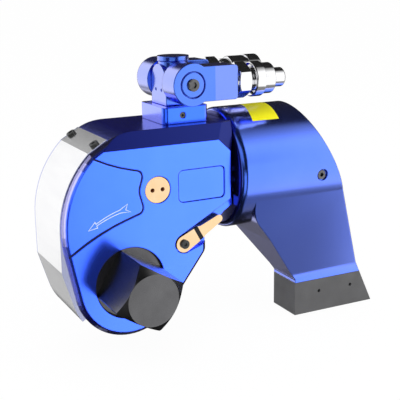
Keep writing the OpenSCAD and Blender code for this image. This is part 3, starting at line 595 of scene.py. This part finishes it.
# Black oxide screw steel: almost black, thin and slightly oily
BLACK = Finish("black_oxide_steel", "#2A2B2E", "#202124", roughness=0.34, roughness_swing=0.12,
               patch_mm=3, grain_mm=0.3, relief=0.06, veil=0.3, veil_colour="#9A9CA4")
# Oiled screw steel in the open: dark grey, half dulled by dust
SCREW = replace(BLACK, name="oiled_screw_steel", colour="#4C4D4C", deep="#424342", metallic=0.5)
# Pale gold plate on turned steel: warm and bright with a soft satin, and painted shade deep in its holes, a
# dull brown
GOLD = Finish("pale_gold_plate", "#FFDFB4", "#FFD8A6", roughness=0.2, roughness_swing=0.08,
              patch_mm=9, grain_mm=0.35, relief=0.03, recess_shade_tone="#A8643C")
# Sintered bronze: warm brown metal with open pores
BRONZE = Finish("sintered_bronze", "#B98C50", "#A67B42", roughness=0.4, roughness_swing=0.12,
                patch_mm=4, grain_mm=0.4, relief=0.12)
# Hard chrome on turned steel: a near mirror with faint tool rings around the axis
CHROME = Finish("turned_hard_chrome", "#FDFDFE", "#F6F6F9", roughness=0.1, roughness_swing=0.06,
                patch_mm=8, grain_mm=0.4, relief=0.02, grain=Grain.TURNED)
# Nitrile rubber: black, non metallic, with the dull skin of a mould
SEAL = Finish("black_nitrile", "#1C1C1D", "#141415", metallic=0.0, roughness=0.55, roughness_swing=0.1,
              patch_mm=3, grain_mm=0.3, relief=0.1)
# Moulded polyurethane pad: dark grey, dull, with a fine mould texture
FOOT = Finish("moulded_pad_rubber", "#646465", "#5C5C5D", metallic=0.0, roughness=0.62, roughness_swing=0.1,
              patch_mm=14, grain_mm=0.6, relief=0.12)
# Yellow vinyl film: flat colour with a slight satin
VINYL = Finish("yellow_vinyl_film", "#FBF500", "#F3EC00", metallic=0.0, roughness=0.35,
               roughness_swing=0.08, patch_mm=10, grain_mm=0.4, relief=0.02)
# White screen ink: thin and slightly broken at its edges
INK = Finish("white_screen_ink", "#EFF3FF", "#DDE6FF", metallic=0.0, roughness=0.5, roughness_swing=0.1,
             patch_mm=2, grain_mm=0.25, relief=0.08)
# Painted shade in the cut line and around the sunken panel: matt navy, slightly uneven
LINE_SHADE = Finish("navy_painted_line_shade", "#0B1244", "#080E38", metallic=0.0, roughness=0.6, roughness_swing=0.1,
              patch_mm=2, grain_mm=0.25, relief=0.06)

SLOT_FINISH: dict[str, Finish] = {
    "blue_metal": BLUE,
    "bright_steel": BRIGHT,
    "drive_steel": DRIVE,
    "black_steel": BLACK,
    "gold_metal": GOLD,
    "bronze": BRONZE,
    "seal_rubber": SEAL,
    "foot_rubber": FOOT,
    "coupler_chrome": CHROME,
}


def dress(node: bpy.types.Object, finish: Finish, round_mm: float, crease: float) -> None:
    """Give a CAD node its finish, soft edges and clean shading.

    Args:
        node: The CAD object.
        finish: The finish that it shows.
        round_mm: Width of the softened edges, or 0 for none.
        crease: Angle in degrees above which an edge stays sharp in the shading.
    """
    node.data.materials.clear()
    node.data.materials.append(finish.material())
    node.data.polygons.foreach_set("use_smooth", [True] * len(node.data.polygons))
    weld = node.modifiers.new("weld", "WELD")
    weld.merge_threshold = WELD_MM * MM
    if round_mm:
        edge = node.modifiers.new("soft_edges", "BEVEL")
        edge.width = round_mm * MM
        edge.segments = ROUND_STEPS
        edge.limit_method = "ANGLE"
        edge.angle_limit = math.radians(CREASE)
    split = node.modifiers.new("hard_edges", "EDGE_SPLIT")
    split.split_angle = math.radians(crease)
    node.modifiers.new("even_shading", "WEIGHTED_NORMAL")


def new_piece(name: str, mesh: Mesh, finish: Finish, body: str) -> bpy.types.Object:
    """Turn a finished bmesh into a piece that rides on a body.

    Args:
        name: Name of the piece.
        mesh: Its mesh, in metres in the part's frame; it is freed here.
        finish: The finish that it shows.
        body: CAD body that carries it.

    Returns:
        The new object.
    """
    bmesh.ops.recalc_face_normals(mesh, faces=mesh.faces)
    data = bpy.data.meshes.new(name)
    mesh.to_mesh(data)
    mesh.free()
    data.materials.append(finish.material())
    piece = bpy.data.objects.new(name, data)
    bpy.context.scene.collection.objects.link(piece)
    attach(piece, body)
    LOG.info("%s rides on %s with %d faces", name, body, len(data.polygons))
    return piece


def turned(profile: Profile, at: Point, steps: int = 48) -> Mesh:
    """Turn a closed profile about an axis along X.

    Args:
        profile: Points of along and radius in millimetres, in order.
        at: Start of the axis in millimetres.
        steps: Number of segments around.

    Returns:
        The closed mesh, in metres.
    """
    mesh = bmesh.new()
    rings: list[list[bmesh.types.BMVert]] = []
    for along, radius in profile:
        ring = []
        for i in range(steps if radius > 0 else 1):
            a = 2 * math.pi * i / steps
            place = (at[0] + along, at[1] + radius * math.cos(a), at[2] + radius * math.sin(a))
            ring.append(mesh.verts.new(Vector(place) * MM))
        rings.append(ring)
    for ring, after in zip(rings, rings[1:]):
        for i in range(steps):
            k = (i + 1) % steps
            corners = [ring[i % len(ring)], ring[k % len(ring)]]
            corners += [after[k % len(after)], after[i % len(after)]]
            loop = list(dict.fromkeys(corners))
            if len(loop) > 2:
                mesh.faces.new(loop)
    return mesh


def sheet(
    surface: Callable[[float, float], Point],
    thickness: Callable[[float, float], Vector],
    across: int,
    along: int,
) -> Mesh:
    """A thin closed sheet over a curved surface.

    Args:
        surface: Point of the lower side in millimetres for shares across and along.
        thickness: Step in millimetres from the lower to the upper side there.
        across: Number of cells across.
        along: Number of cells along.

    Returns:
        The closed mesh, in metres.
    """
    mesh = bmesh.new()
    layers = []
    for up in (0, 1):
        rows = []
        for j in range(along + 1):
            row = []
            for i in range(across + 1):
                s, t = i / across, j / along
                row.append(mesh.verts.new((Vector(surface(s, t)) + up * thickness(s, t)) * MM))
            rows.append(row)
        layers.append(rows)
    for rows in layers:
        for j in range(along):
            for i in range(across):
                mesh.faces.new((rows[j][i], rows[j][i + 1], rows[j + 1][i + 1], rows[j + 1][i]))
    rim = [(0, i) for i in range(across)]
    rim += [(j, across) for j in range(along)]
    rim += [(along, i) for i in range(across, 0, -1)]
    rim += [(j, 0) for j in range(along, 0, -1)]
    low, high = layers
    for (j, i), (n, k) in zip(rim, rim[1:] + rim[:1]):
        mesh.faces.new((low[j][i], low[n][k], high[n][k], high[j][i]))
    return mesh


def rounded(points: Sequence[Point], closed: bool) -> list[Vector]:
    """Round the corners of a line.

    Args:
        points: Corners as two places in millimetres and a corner radius.
        closed: Whether the last corner leads back to the first.

    Returns:
        Points along the rounded line.
    """
    count = len(points)
    line: list[Vector] = []
    for i, (x, z, radius) in enumerate(points):
        here = Vector((x, z))
        if not radius or (not closed and i in (0, count - 1)):
            line.append(here)
            continue
        back = (Vector(points[i - 1][:2]) - here).normalized()
        on = (Vector(points[(i + 1) % count][:2]) - here).normalized()
        half = back.angle(on) / 2
        centre = here + (back + on).normalized() * radius / math.sin(half)
        start = here + back * radius / math.tan(half) - centre
        end = here + on * radius / math.tan(half) - centre
        turn = math.atan2(start.x * end.y - start.y * end.x, start.dot(end))
        steps = max(2, math.ceil(abs(turn) / ARC_STEP))
        line += [centre + Matrix.Rotation(turn * k / steps, 2) @ start for k in range(steps + 1)]
    return line


def ribbon(line: Sequence[Vector], closed: bool, width: float, low: float, high: float) -> Mesh:
    """A flat ribbon along a line in the housing's side face.

    Args:
        line: Points as X and Z in millimetres.
        closed: Whether the ribbon joins itself.
        width: Its width in millimetres.
        low: Y of its under side.
        high: Y of its upper side.

    Returns:
        The closed mesh, in metres.
    """
    count = len(line)
    mesh = bmesh.new()
    rings: list[list[bmesh.types.BMVert]] = [[] for _ in range(4)]
    for i, point in enumerate(line):
        last, following = line[i - 1], line[(i + 1) % count]
        before = (point - last).normalized() if closed or i else (following - point).normalized()
        after = (following - point).normalized() if closed or i < count - 1 else before
        p, q = Vector((-before.y, before.x)), Vector((-after.y, after.x))
        step = (p + q) / max(MITRE_LIMIT, 1 + p.dot(q)) * width / 2
        for ring, side, y in zip(rings, (-1, -1, 1, 1), (low, high, high, low)):
            ring.append(mesh.verts.new(Vector((point.x + side * step.x, y, point.y + side * step.y)) * MM))
    for ring, after_ring in zip(rings, rings[1:] + rings[:1]):
        for i in range(count if closed else count - 1):
            k = (i + 1) % count
            mesh.faces.new((ring[i], ring[k], after_ring[k], after_ring[i]))
    if not closed:
        for i in (0, count - 1):
            mesh.faces.new([ring[i] for ring in rings])
    return mesh


@dataclass
class Assembly:
    """A group of CAD nodes that are dressed together.

    Attributes:
        nodes: CAD objects by name.
        slots: Material slot of each node.
        members: Names of the group's nodes.
        round_mm: Width of softened edges, where unusual.
        crease: Angle of sharp edges, where unusual.
        special: Finish, where it isn't the slot's own.
    """

    nodes: dict[str, bpy.types.Object]
    slots: dict[str, str]
    members: tuple[str, ...] = ()
    round_mm: dict[str, float] = field(default_factory=dict)
    crease: dict[str, float] = field(default_factory=dict)
    special: dict[str, Finish] = field(default_factory=dict)

    def dress(self) -> None:
        """Give every member its finish."""
        for name in self.members:
            finish = self.special.get(name, SLOT_FINISH[self.slots[name]])
            width = self.round_mm.get(name, ROUND_MM)
            dress(self.nodes[name], finish, width, self.crease.get(name, CREASE))
            LOG.info("%s is dressed as %s", name, finish.name)

    def build(self) -> None:
        """Make the pieces that the solids leave out."""
        LOG.info("%s needs no more pieces", type(self).__name__)


@dataclass
class HousingGroup(Assembly):
    """The ratchet housing with its shroud and plug, the arrow printed on its side, and navy painted shade in
    its cut line and around its sunken panel.
    """

    members: tuple[str, ...] = (
        "housing", "shroud", "shroud_screws", "pin_plug",
        "rod_gland", "rod_seal", "cylinder_end_cap", "end_cap_seal",
    )
    round_mm: dict[str, float] = field(default_factory=lambda: {"housing": 0.0, "shroud": 0.2})
    crease: dict[str, float] = field(default_factory=lambda: {"housing": 12.0, "shroud": 12.0})
    special: dict[str, Finish] = field(
        default_factory=lambda: {"housing": BODY_BLUE, "shroud": SHROUD, "shroud_screws": SCREW}
    )
    # The arrow on the side face, by X and Z of its ends
    arrow_tip: tuple[float, float] = (-30.6, 44.2)
    arrow_tail: tuple[float, float] = (0.6, 56.8)
    arrow_line: float = 0.5
    arrow_bow: float = 1.6
    arrow_head: float = 6.8
    arrow_barb: float = 2.4
    arrow_shaft: float = 0.9
    arrow_taper: tuple[float, float] = (0.75, 0.55)
    arrow_fork: float = 3.2
    arrow_notch: float = 7.0
    arrow_cleft: float = 0.4
    arrow_steps: int = 10
    ink_height: float = 0.06
    # The cut line, by X, Z and corner radius
    groove: tuple[Point, ...] = (
        (-24.8, 95, 0), (-10, 87.4, 120), (12.8, 82, 5), (8.4, 68, 12),
        (12.6, 52.6, 5), (-12, 45, 120), (-32, 35.2, 120), (-46.2, 26.36, 0),
    )
    # Width and depth of the cut line, and Y of the top of the painted shade laid in it
    groove_w: float = 1.06
    groove_depth: float = 0.6
    shade_top_y: float = 0.2
    # The sunken panel, by left, low, width and height
    panel: tuple[float, float, float, float] = (40.0, 54.9, 38.4, 24.6)
    panel_corner: float = 4.0
    panel_depth: float = 0.8
    # Width and inset of the painted shade line around the panel
    outline_w: float = 0.6
    outline_gap: float = 0.05

    def arrow_outline(self) -> list[Vector]:
        """Draw the direction arrow.

        Returns:
            Its corners from its tip around, as X and Z in millimetres.
        """
        tip, tail = Vector(self.arrow_tip), Vector(self.arrow_tail)
        length = (tail - tip).length
        run = (tail - tip) / length
        side = Vector((-run.y, run.x))
        head, notch, steps = self.arrow_head, self.arrow_notch, self.arrow_steps
        thin, gain = self.arrow_taper
        upper, lower = [], []
        for i in range(steps + 1):
            u = head + (length - notch - head) * i / steps
            bow = self.arrow_bow * math.sin(math.pi * u / length)
            half = self.arrow_shaft * (thin + gain * i / steps)
            upper.append(tip + run * u + side * (bow + half))
            lower.append(tip + run * u + side * (bow - half))
        bow_head = self.arrow_bow * math.sin(math.pi * head / length)
        barbs = [tip + run * head + side * (bow_head + way * self.arrow_barb) for way in (1, -1)]
        fork = [
            tip + run * length + side * self.arrow_fork,
            tip + run * (length - notch * self.arrow_cleft),
            tip + run * length - side * self.arrow_fork,
        ]
        return [tip, barbs[0], *upper, *fork, *lower[::-1], barbs[1]]

    def build(self) -> None:
        """Print the arrow that shows the working direction, and lay painted shade in the cut line and around
        the sunken panel.
        """
        arrow = ribbon(self.arrow_outline(), True, self.arrow_line, 0.0, -self.ink_height)
        new_piece("direction_arrow", arrow, INK, "body")
        groove = ribbon(rounded(self.groove, False), False, self.groove_w, self.groove_depth, self.shade_top_y)
        new_piece("face_line_shade", groove, LINE_SHADE, "body")
        left, low, width, height = self.panel
        inset = self.outline_w / 2 + self.outline_gap
        x0, x1, z0, z1 = left + inset, left + width - inset, low + inset, low + height - inset
        corner = self.panel_corner - inset
        loop = rounded([(x0, z0, corner), (x1, z0, corner), (x1, z1, corner), (x0, z1, corner)], True)
        outline = ribbon(loop, True, self.outline_w, self.panel_depth, self.panel_depth - self.ink_height)
        new_piece("panel_edge_shade", outline, LINE_SHADE, "body")


@dataclass
class DriveGroup(Assembly):
    """The piston, plates, pawls, ratchet, square drive and release lever."""

    members: tuple[str, ...] = (
        "piston", "piston_seal", "piston_rod", "rod_pin", "drive_plate_front", "drive_plate_rear",
        "drive_pawl_pin", "drive_pawl", "drive_bush_front", "drive_bush_rear", "ratchet", "square_drive",
        "drive_retainer", "release_button", "reaction_pawl", "pawl_shaft", "release_lever", "lever_band",
        "lever_screw",
    )
    special: dict[str, Finish] = field(default_factory=lambda: {"lever_screw": SCREW})


@dataclass
class SwivelGroup(Assembly):
    """The hose swivel, with the valve parts inside its couplers."""

    members: tuple[str, ...] = (
        "swivel_base", "base_screw", "swivel_spindle", "swivel_post", "front_arm", "rear_arm",
        "front_arm_disc", "rear_arm_disc", "front_arm_screw", "rear_arm_screw", "front_adapter",
        "front_lock_ring", "front_nipple", "rear_adapter", "rear_coupler_body", "rear_coupler_sleeve",
    )
    round_mm: dict[str, float] = field(default_factory=lambda: {"front_arm": 0.7, "rear_arm": 0.7})
    special: dict[str, Finish] = field(
        default_factory=lambda: {"front_arm": ARM_BLUE, "swivel_base": BASE_BLUE}
    )
    nipple_tip: Point = (134.5, 11.5, 140.7)
    socket_floor: Point = (122.0, 58.5, 140.7)
    plug: Profile = (
        (-9.0, 0.0), (-9.0, 1.1), (-3.4, 1.1), (-2.6, 2.7), (-1.3, 2.7), (-0.9, 2.3), (-0.8, 0.0),
    )
    seat: Profile = (
        (-5.0, 0.0), (-5.0, 1.2), (-0.4, 1.2), (0.2, 4.6), (1.4, 4.6), (2.0, 3.0), (4.4, 2.6), (4.8, 0.0),
    )
    seal: Profile = ((0.3, 6.0), (0.3, 7.4), (2.3, 7.4), (2.3, 6.0), (0.3, 6.0))
    ball_r: float = 1.6
    ball_ring: tuple[float, float] = (9.0, 8.3)
    ball_cells: tuple[int, int] = (16, 10)
    balls: int = 8

    def build(self) -> None:
        """Make the valve poppets, the seal and the locking balls inside the couplers."""
        plug = turned(self.plug, self.nipple_tip)
        new_piece("nipple_poppet", plug, CHROME, "front_arm")
        seat = turned(self.seat, self.socket_floor)
        new_piece("socket_poppet", seat, CHROME, "rear_arm")
        seal = turned(self.seal, self.socket_floor)
        new_piece("socket_seal", seal, SEAL, "rear_arm")
        mesh = bmesh.new()
        along, reach = self.ball_ring
        around, rows = self.ball_cells
        radius = self.ball_r * MM
        for i in range(self.balls):
            a = 2 * math.pi * (i + 0.5) / self.balls
            step = Vector((along, reach * math.cos(a), reach * math.sin(a)))
            place = Matrix.Translation((Vector(self.socket_floor) + step) * MM)
            bmesh.ops.create_uvsphere(mesh, u_segments=around, v_segments=rows, radius=radius, matrix=place)
        for face in mesh.faces:
            face.smooth = True
        new_piece("locking_balls", mesh, CHROME, "rear_arm")


@dataclass
class ReactionGroup(Assembly):
    """The reaction arm with its foot and a bare film label on the collar."""

    members: tuple[str, ...] = ("reaction_arm", "foot_pad", "pad_pins", "arm_lock_screw")
    round_mm: dict[str, float] = field(default_factory=lambda: {"foot_pad": 0.0})
    special: dict[str, Finish] = field(default_factory=lambda: {"reaction_arm": REACTION_BLUE})
    collar_axis: tuple[float, float] = (35.0, 70.0)
    collar_r: float = 47.5
    front_x: tuple[float, float] = (107.1, 130.3)
    rear_x: tuple[float, float] = (114.6, 134.4)
    label_a: tuple[float, float] = (125.0, 80.5)
    label_cells: tuple[int, int] = (6, 24)
    film: float = 0.1

    def angle(self, t: float) -> float:
        """Angle around the collar, in radians, at a share of the label's length."""
        return math.radians(self.label_a[0] + (self.label_a[1] - self.label_a[0]) * t)

    def under(self, s: float, t: float) -> Point:
        """Find a point of the collar under the label.

        Args:
            s: Share of the label's width.
            t: Share of its length.

        Returns:
            The point in millimetres.
        """
        front = self.front_x[0] + (self.front_x[1] - self.front_x[0]) * s
        rear = self.rear_x[0] + (self.rear_x[1] - self.rear_x[0]) * s
        y = self.collar_axis[0] + self.collar_r * math.cos(self.angle(t))
        z = self.collar_axis[1] + self.collar_r * math.sin(self.angle(t))
        return front + (rear - front) * t, y, z

    def lift(self, _s: float, t: float) -> Vector:
        """Film thickness along the collar's radius, at a share of the label's length."""
        return self.film * Vector((0, math.cos(self.angle(t)), math.sin(self.angle(t))))

    def build(self) -> None:
        """Lay the label over the collar's curve."""
        film = sheet(self.under, self.lift, *self.label_cells)
        label = new_piece("collar_label", film, VINYL, "reaction_arm")
        label.visible_glossy = False


@dataclass(frozen=True)
class SoftBox:
    """A soft lit window around the set that only reflections see, by its edges around and up in degrees."""

    around: tuple[float, float]
    up: tuple[float, float]
    blur: float
    level: float = 1.0
    top_blur: float = 0.0


@dataclass(frozen=True)
class Lamp:
    """A soft square lamp, in metres and watts."""

    name: str
    place: Point
    size: float
    power: float


@dataclass
class Studio:
    """White floor and sky, soft boxes for the reflections, soft lamps and the camera."""

    floor_z: float
    # The photograph's view: the camera's place in metres and its axes
    eye: Point = (-0.2254, -0.5671, 0.2214)
    right: Point = (0.8931, -0.4497, -0.01486)
    up: Point = (0.1269, 0.2200, 0.9672)
    back: Point = (-0.4317, -0.8656, 0.2536)
    lens: float = 79.27
    sensor: float = 36.0
    clip_end: float = 100.0
    floor_reach: float = 12.0
    floor_steps: int = 64
    floor_centre: tuple[float, float] = (0.09, 0.035)
    floor_colour: str = "#E6E6E6"
    floor_glow: float = 1.012
    floor_share: float = 0.95
    aim_z: float = 0.04
    # The sky's level for soft light, and for reflections beside the boxes
    even: float = 0.8
    dim: float = 0.014
    lamps: tuple[Lamp, ...] = (
        Lamp("key_lamp", place=(-0.6, -0.9, 1.2), size=1.0, power=9.0),
        Lamp("fill_lamp", place=(1.0, -0.6, 0.9), size=0.9, power=4.0),
    )
    boxes: tuple[SoftBox, ...] = (
        SoftBox(around=(-75, -12), up=(-42, 13), blur=5, level=1.1),
        SoftBox(around=(-66, -12), up=(-5, 57), blur=11, level=1.15, top_blur=22),
        SoftBox(around=(-90, 0), up=(-72, -40), blur=5, level=0.24),
        SoftBox(around=(93, 172), up=(-22, 36), blur=4, level=1.03),
        SoftBox(around=(86, 99), up=(-65, -18), blur=3, level=0.68),
        SoftBox(around=(58, 94), up=(-50, -16), blur=4, level=0.12),
        SoftBox(around=(-172, -128), up=(8, 36), blur=6, level=0.6),
        SoftBox(around=(-140, -98), up=(-40, -4), blur=5, level=0.8),
        SoftBox(around=(168, 200), up=(-25, 36), blur=6, level=0.5),
        SoftBox(around=(-200, -168), up=(-25, 36), blur=6, level=0.5),
    )

    def build(self) -> None:
        """Set the view transform and make the camera, sky, floor and lamps."""
        bpy.context.scene.view_settings.view_transform = "Standard"
        self.camera()
        self.sky()
        self.floor()
        for lamp in self.lamps:
            self.hang(lamp)

    def camera(self) -> None:
        """Place the camera at the photograph's view."""
        data = bpy.data.cameras.new("camera")
        data.lens = self.lens
        data.sensor_width = self.sensor
        data.clip_end = self.clip_end
        made = bpy.data.objects.new("camera", data)
        axes = Matrix((self.right, self.up, self.back)).transposed().to_4x4()
        made.matrix_world = Matrix.Translation(self.eye) @ axes
        bpy.context.scene.collection.objects.link(made)
        bpy.context.scene.camera = made

    def seen(self, tree: Tree) -> tuple[Socket, Socket]:
        """Light path tests.

        Args:
            tree: Node tree that takes them.

        Returns:
            One for camera or transmission rays, and one for glossy rays.
        """
        path = add_node(tree, "LightPath")
        rays = {0: path["Is Camera Ray"], 1: path["Is Transmission Ray"]}
        clear = add_node(tree, "Math", rays, operation="MAXIMUM")["Value"]
        return clear, path["Is Glossy Ray"]

    def sky(self) -> None:
        """White to the eye, dim with soft boxes for reflections, even grey for soft light."""
        world = bpy.data.worlds.new("studio")
        world.use_nodes = True
        bpy.context.scene.world = world
        tree = world.node_tree
        tree.nodes.clear()
        view = add_node(tree, "TexCoord")["Generated"]
        axes = add_node(tree, "SeparateXYZ", {"Vector": view})
        around = {0: axes["Y"], 1: axes["X"]}
        turn = add_node(tree, "Math", around, operation="ARCTAN2")["Value"]
        level: Any = self.dim
        for box in self.boxes:
            pair = {0: self.soft_box(tree, box, turn, axes["Z"]), 1: level}
            level = add_node(tree, "Math", pair, operation="MAXIMUM")["Value"]
        clear, glossy = self.seen(tree)
        shown: Any = (self.even, self.even, self.even, 1.0)
        for share, light in ((glossy, level), (clear, linear("#FFFFFF"))):
            mix = {"Factor": share, "A": shown, "B": light}
            shown = add_node(tree, "Mix", mix, data_type="RGBA")["Result"]
        air = add_node(tree, "Background", {"Color": shown})["Background"]
        add_node(tree, "OutputWorld", {"Surface": air})

    def soft_box(self, tree: Tree, box: SoftBox, turn: Socket, rise: Socket) -> Socket:
        """Brightness of one soft box in the sky.

        Args:
            tree: The node tree.
            box: Its edges.
            turn: Direction around the upright axis, in radians.
            rise: Upright part of the direction.

        Returns:
            Its brightness in that direction.
        """
        top = box.top_blur or box.blur
        edges = (
            (turn, box.around[0], -box.blur),
            (turn, box.around[1], box.blur),
            (rise, box.up[0], -box.blur),
            (rise, box.up[1], top),
        )
        level: Any = box.level
        for value, middle, out in edges:
            dark, bright = math.radians(middle + out), math.radians(middle - out)
            if value is rise:
                dark, bright = math.sin(dark), math.sin(bright)
            span = {"Value": value, "From Min": dark, "From Max": bright}
            fade = add_node(tree, "MapRange", span, interpolation_type="SMOOTHSTEP")
            pair = {0: level, 1: fade["Result"]}
            level = add_node(tree, "Math", pair, operation="MULTIPLY")["Value"]
        return level

    def floor(self) -> None:
        """Pale floor that keeps a soft shadow and lets reflections through to the soft boxes."""
        mesh = bmesh.new()
        bmesh.ops.create_circle(mesh, cap_ends=True, segments=self.floor_steps, radius=self.floor_reach)
        data = bpy.data.meshes.new("floor")
        mesh.to_mesh(data)
        mesh.free()
        made = bpy.data.objects.new("floor", data)
        made.location = (*self.floor_centre, self.floor_z)
        bpy.context.scene.collection.objects.link(made)
        paint = bpy.data.materials.new("floor_paint")
        paint.use_nodes = True
        tree = paint.node_tree
        tree.nodes.clear()
        clear, glossy = self.seen(tree)
        dull = add_node(tree, "BsdfDiffuse", {"Color": linear(self.floor_colour)})["BSDF"]
        white = add_node(tree, "Emission", {"Strength": self.floor_glow})["Emission"]
        open_air = add_node(tree, "BsdfTransparent")["BSDF"]
        pair = {0: clear, 1: self.floor_share}
        most = add_node(tree, "Math", pair, operation="MULTIPLY")["Value"]
        first = add_node(tree, "MixShader", {0: most, 1: dull, 2: white})["Shader"]
        last = add_node(tree, "MixShader", {0: glossy, 1: first, 2: open_air})["Shader"]
        add_node(tree, "OutputMaterial", {"Surface": last})
        data.materials.append(paint)

    def hang(self, lamp: Lamp) -> None:
        """Hang a lamp so that it looks at the object.

        Args:
            lamp: The lamp.
        """
        data = bpy.data.lights.new(lamp.name, "AREA")
        data.size = lamp.size
        data.energy = lamp.power
        made = bpy.data.objects.new(lamp.name, data)
        aim = Vector((*self.floor_centre, self.aim_z)) - Vector(lamp.place)
        made.location = lamp.place
        made.rotation_euler = aim.to_track_quat("-Z", "Y").to_euler()
        made.visible_glossy = False
        bpy.context.scene.collection.objects.link(made)


def main() -> None:
    """Load the frame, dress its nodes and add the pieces."""
    logging.basicConfig(level=logging.INFO, format="%(name)s: %(message)s")
    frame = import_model()
    slots = {row["node"]: row["material_slot"] for row in frame["record"]["subparts"]}
    floor_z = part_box("foot_pad")[0].z
    Studio(floor_z).build()
    for group in (HousingGroup, DriveGroup, SwivelGroup, ReactionGroup):
        made = group(frame["nodes"], slots)
        made.dress()
        made.build()


if __name__ == "__main__":
    main()
